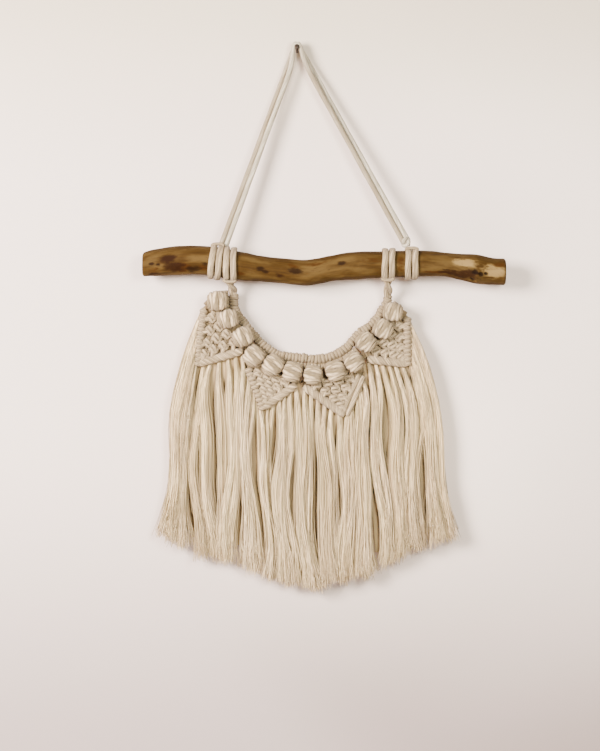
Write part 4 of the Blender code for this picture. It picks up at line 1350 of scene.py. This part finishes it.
def lay_core(skin, line, wide, deep, order):
    """The lobed heart of a lock, which fills it between its fibres, with painted shade."""
    used = line[:, 2] > line[0, 2] + (line[-1, 2] - line[0, 2]) * CORE_LENGTH
    stations = used.sum()
    narrow = CORE_SHARE * np.clip((stations - np.arange(stations)) / CORE_ENDING, 0.25, 1) ** 0.5
    turn = np.arange(CORE_SIDES) * math.tau / CORE_SIDES
    lobes = 1 + 0.10 * np.cos(5 * turn + order) + 0.06 * np.cos(3 * turn - 2 * order)
    rings = np.stack([np.outer(wide[used] * narrow, np.cos(turn) * lobes),
                      np.outer(deep[used] * narrow, -np.sin(turn) * lobes),
                      np.zeros((stations, CORE_SIDES))], 2) + line[used][:, None]
    tones_and_shades = np.broadcast_to((0.35, 0.5, (order * 0.37) % 1), rings.shape).reshape(-1, 3)
    skin.add_rings(rings, {"fibre": tones_and_shades, "shade": np.full(len(tones_and_shades), CORE_SHADE)})


def lay_under(skin, line, other):
    """A strip behind the gap between two neighbouring locks, with painted shade where it faces the gap."""
    line = (line + other)[:UNDER_STATIONS] * (0.5, 0, 0.5) + (0, UNDER_DEPTH, 0)
    line[0, 2] = line[1, 2] + UNDER_RISE + abs(line[0, 0] - other[0, 0])
    share = np.linspace(0, 1, UNDER_STATIONS)
    turn = np.arange(UNDER_SIDES) * math.tau / UNDER_SIDES
    taper = np.sqrt(1 - 0.8 * share ** 4)
    rings = np.stack([np.outer(UNDER_HALF_WIDTH * taper, np.cos(turn)),
                      np.outer(UNDER_HALF_DEPTH * taper, -np.sin(turn)),
                      np.zeros((UNDER_STATIONS, UNDER_SIDES))], 2) + line[:, None]
    in_gap = np.outer(np.ones(UNDER_STATIONS), np.sin(turn) > 0.3)
    tones_and_shades = np.stack([0.6 - 0.4 * in_gap, np.full(in_gap.shape, 0.5), 0.5 - 0.3 * in_gap], 2)
    shade = in_gap * UNDER_SHADE * (1 - 0.55 * share ** 0.5)[:, None]
    skin.add_rings(rings, {"fibre": tones_and_shades.reshape(-1, 3), "shade": shade.ravel()})


combed_cotton = combed_finish()
combing = combing_recipe()
for number, corners in enumerate(PENNANTS):
    left, tip, right = in_front(corners, BAR_DEPTH)
    cores = Skin()
    lines, halves, fills = [], [], []
    for start, end, first, inset in ((left, tip, 0, 0.1), (tip, right, LOCKS_PER_BAR, 0.9)):
        for index in range(LOCKS_PER_BAR):
            order = 2 * LOCKS_PER_BAR * number + first + index
            line, wide, deep = lock_guide(start + (end - start) * (index + inset) / LOCKS_PER_BAR, order)
            lines.append(line)
            halves.append(np.stack([wide, deep, 0 * wide], 1))
            fills += [wide[LOCK_STATIONS // 2] / USUAL_HALF_WIDTH] * LOCK_STATIONS
            lay_core(cores, line, wide, deep, order)
            if order:
                lay_under(cores, line, previous)
            previous = line
    locks = cores.piece(f"combed_locks_{number + 1}", combed_cotton.material)
    guides = line_object("lock_guides", np.concatenate(lines), LOCK_STATIONS)
    keep_at_points(guides.data, "half", np.concatenate(halves))
    keep_at_points(guides.data, "fill", fills)
    combing.grow(locks, Guides=guides, Fibres=FIBRES_PER_LOCK, Wisps=WISPS_PER_LOCK, Stations=FIBRE_STATIONS,
                 Radius=FIBRE_RADIUS, Meander=FIBRE_MEANDER, Fray=FIBRE_FRAY, Seed=50 + number,
                 Material=combed_cotton.material)
    drop(guides)
    fit(locks, "combed_cotton", f"fringe_{number + 1}")


# ---- Room, lights and camera ----------------------------------------------------------------
# A plain pale wall just behind the hanging and a pale floor far below it, both of matt paint. A
# soft light stands level with the hanging at the left, a weaker one at the right, a faint one behind.
CAMERA_AWAY = 2.2
PICTURE_MIDDLE = (2.5 * MM, -270.5 * MM)
HANGING_PLANE = -13.0 * MM
PICTURE_ROWS = 751
ROW_HEIGHT = 0.831 * MM  # on the hanging's plane
WALL_FACE = 1.2 * MM
WALL_HALF_WIDTH = 1.6
WALL_TOP = 1.2
FLOOR_HEIGHT = -1.1
FLOOR_REACH = 3.0
LIGHTS_AIM = (0, 0, -0.3)
AIR_TINT = (0.95, 0.97, 0.87, 1)
AIR_STRENGTH = 0.13


def matt_paint(name, tone):
    """Paint with a very faint roller texture, clear where it is seen from behind."""
    made = Finish(name, {"Roughness": 0.95, "Specular IOR Level": 0.1})
    stipple = made.grain(made.object_place(), (300, 300, 300), 2.0)
    made.drive("Base Color", tone(made, stipple))
    made.bump(stipple, 0.02 * MM)
    behind = made.node("ShaderNodeNewGeometry", {}, {}, "Backfacing")
    clear = made.node("ShaderNodeBsdfTransparent", {}, {})
    seen = made.node("ShaderNodeMixShader", {}, {
        0: behind, 1: Value(made, made.shader.outputs["BSDF"]), 2: clear})
    made.feed(made.tree.nodes["Material Output"].inputs["Surface"], seen)
    return made.material


def wall_tone_and_shade(made, _):
    """Off-white that is greyer in soft patches, with painted shade that makes it darker and yellower above
    the hanging and darker far below it.
    """
    height = made.parts(made.object_place()).other("Z")
    patches = made.grain(made.object_place(), (2.6, 1.0, 2.6), 1.0)
    tone = made.mix(made.step(height, -0.60, -0.30), (0.33, 0.25, 0.225, 1), (0.90, 0.735, 0.635, 1))
    tone = made.mix(made.step(patches, 0.42, 0.62) * 0.4, tone, (0.58, 0.46, 0.425, 1))
    return made.mix(made.step(height, -0.12, 0.06), tone, (0.62, 0.505, 0.385, 1))


def floor_tone(made, stipple):
    """Pale grey, a little mottled."""
    return made.mix(stipple, (0.776, 0.7566, 0.7275, 1), (0.80, 0.78, 0.75, 1))


def plane(name, corners, material):
    """A flat sheet with four corners."""
    mesh = bpy.data.meshes.new(name)
    mesh.from_pydata(corners, [], [(0, 1, 2, 3)])
    mesh.materials.append(material)
    return place_in_scene(name, mesh)


def area_light(name, place, size, power, colour):
    """A round soft light that faces the hanging."""
    data = bpy.data.lights.new(name, 'AREA')
    data.shape = 'DISK'
    data.size = size
    data.energy = power
    data.color = colour
    made = place_in_scene(name, data)
    made.location = place
    made.rotation_euler = (Vector(LIGHTS_AIM) - Vector(place)).to_track_quat('-Z', 'Y').to_euler()
    return made


sheet = ((-1, -1), (1, -1), (1, 1), (-1, 1))
wall = plane("studio_wall", [(x * WALL_HALF_WIDTH, WALL_FACE, WALL_TOP if z > 0 else FLOOR_HEIGHT)
                             for x, z in sheet], matt_paint("wall_paint", wall_tone_and_shade))
wall.visible_shadow = False
floor = plane("studio_floor", [(x * FLOOR_REACH, y * FLOOR_REACH, FLOOR_HEIGHT) for x, y in sheet],
              matt_paint("floor_paint", floor_tone))
key = area_light("key_light", (-0.80, -0.98, 0.02), 0.56, 74, (1.0, 0.95, 0.92))
fill = area_light("fill_light", (0.40, -1.18, -0.02), 0.40, 23, (0.93, 0.97, 0.90))
back = area_light("back_light", (0.5, 1.6, 0.2), 1.5, 14, (0.93, 0.97, 1.0))

world = bpy.data.worlds.new("studio_air")
world.use_nodes = True
world.node_tree.nodes["Background"].inputs["Color"].default_value = AIR_TINT
world.node_tree.nodes["Background"].inputs["Strength"].default_value = AIR_STRENGTH
bpy.context.scene.world = world

camera_data = bpy.data.cameras.new("camera")
camera_data.lens = camera_data.sensor_width * CAMERA_AWAY / (PICTURE_ROWS * ROW_HEIGHT)
camera = place_in_scene("camera", camera_data)
camera.location = (PICTURE_MIDDLE[0], HANGING_PLANE - CAMERA_AWAY, PICTURE_MIDDLE[1])
camera.rotation_euler = (math.pi / 2, 0, 0)
bpy.context.scene.camera = camera
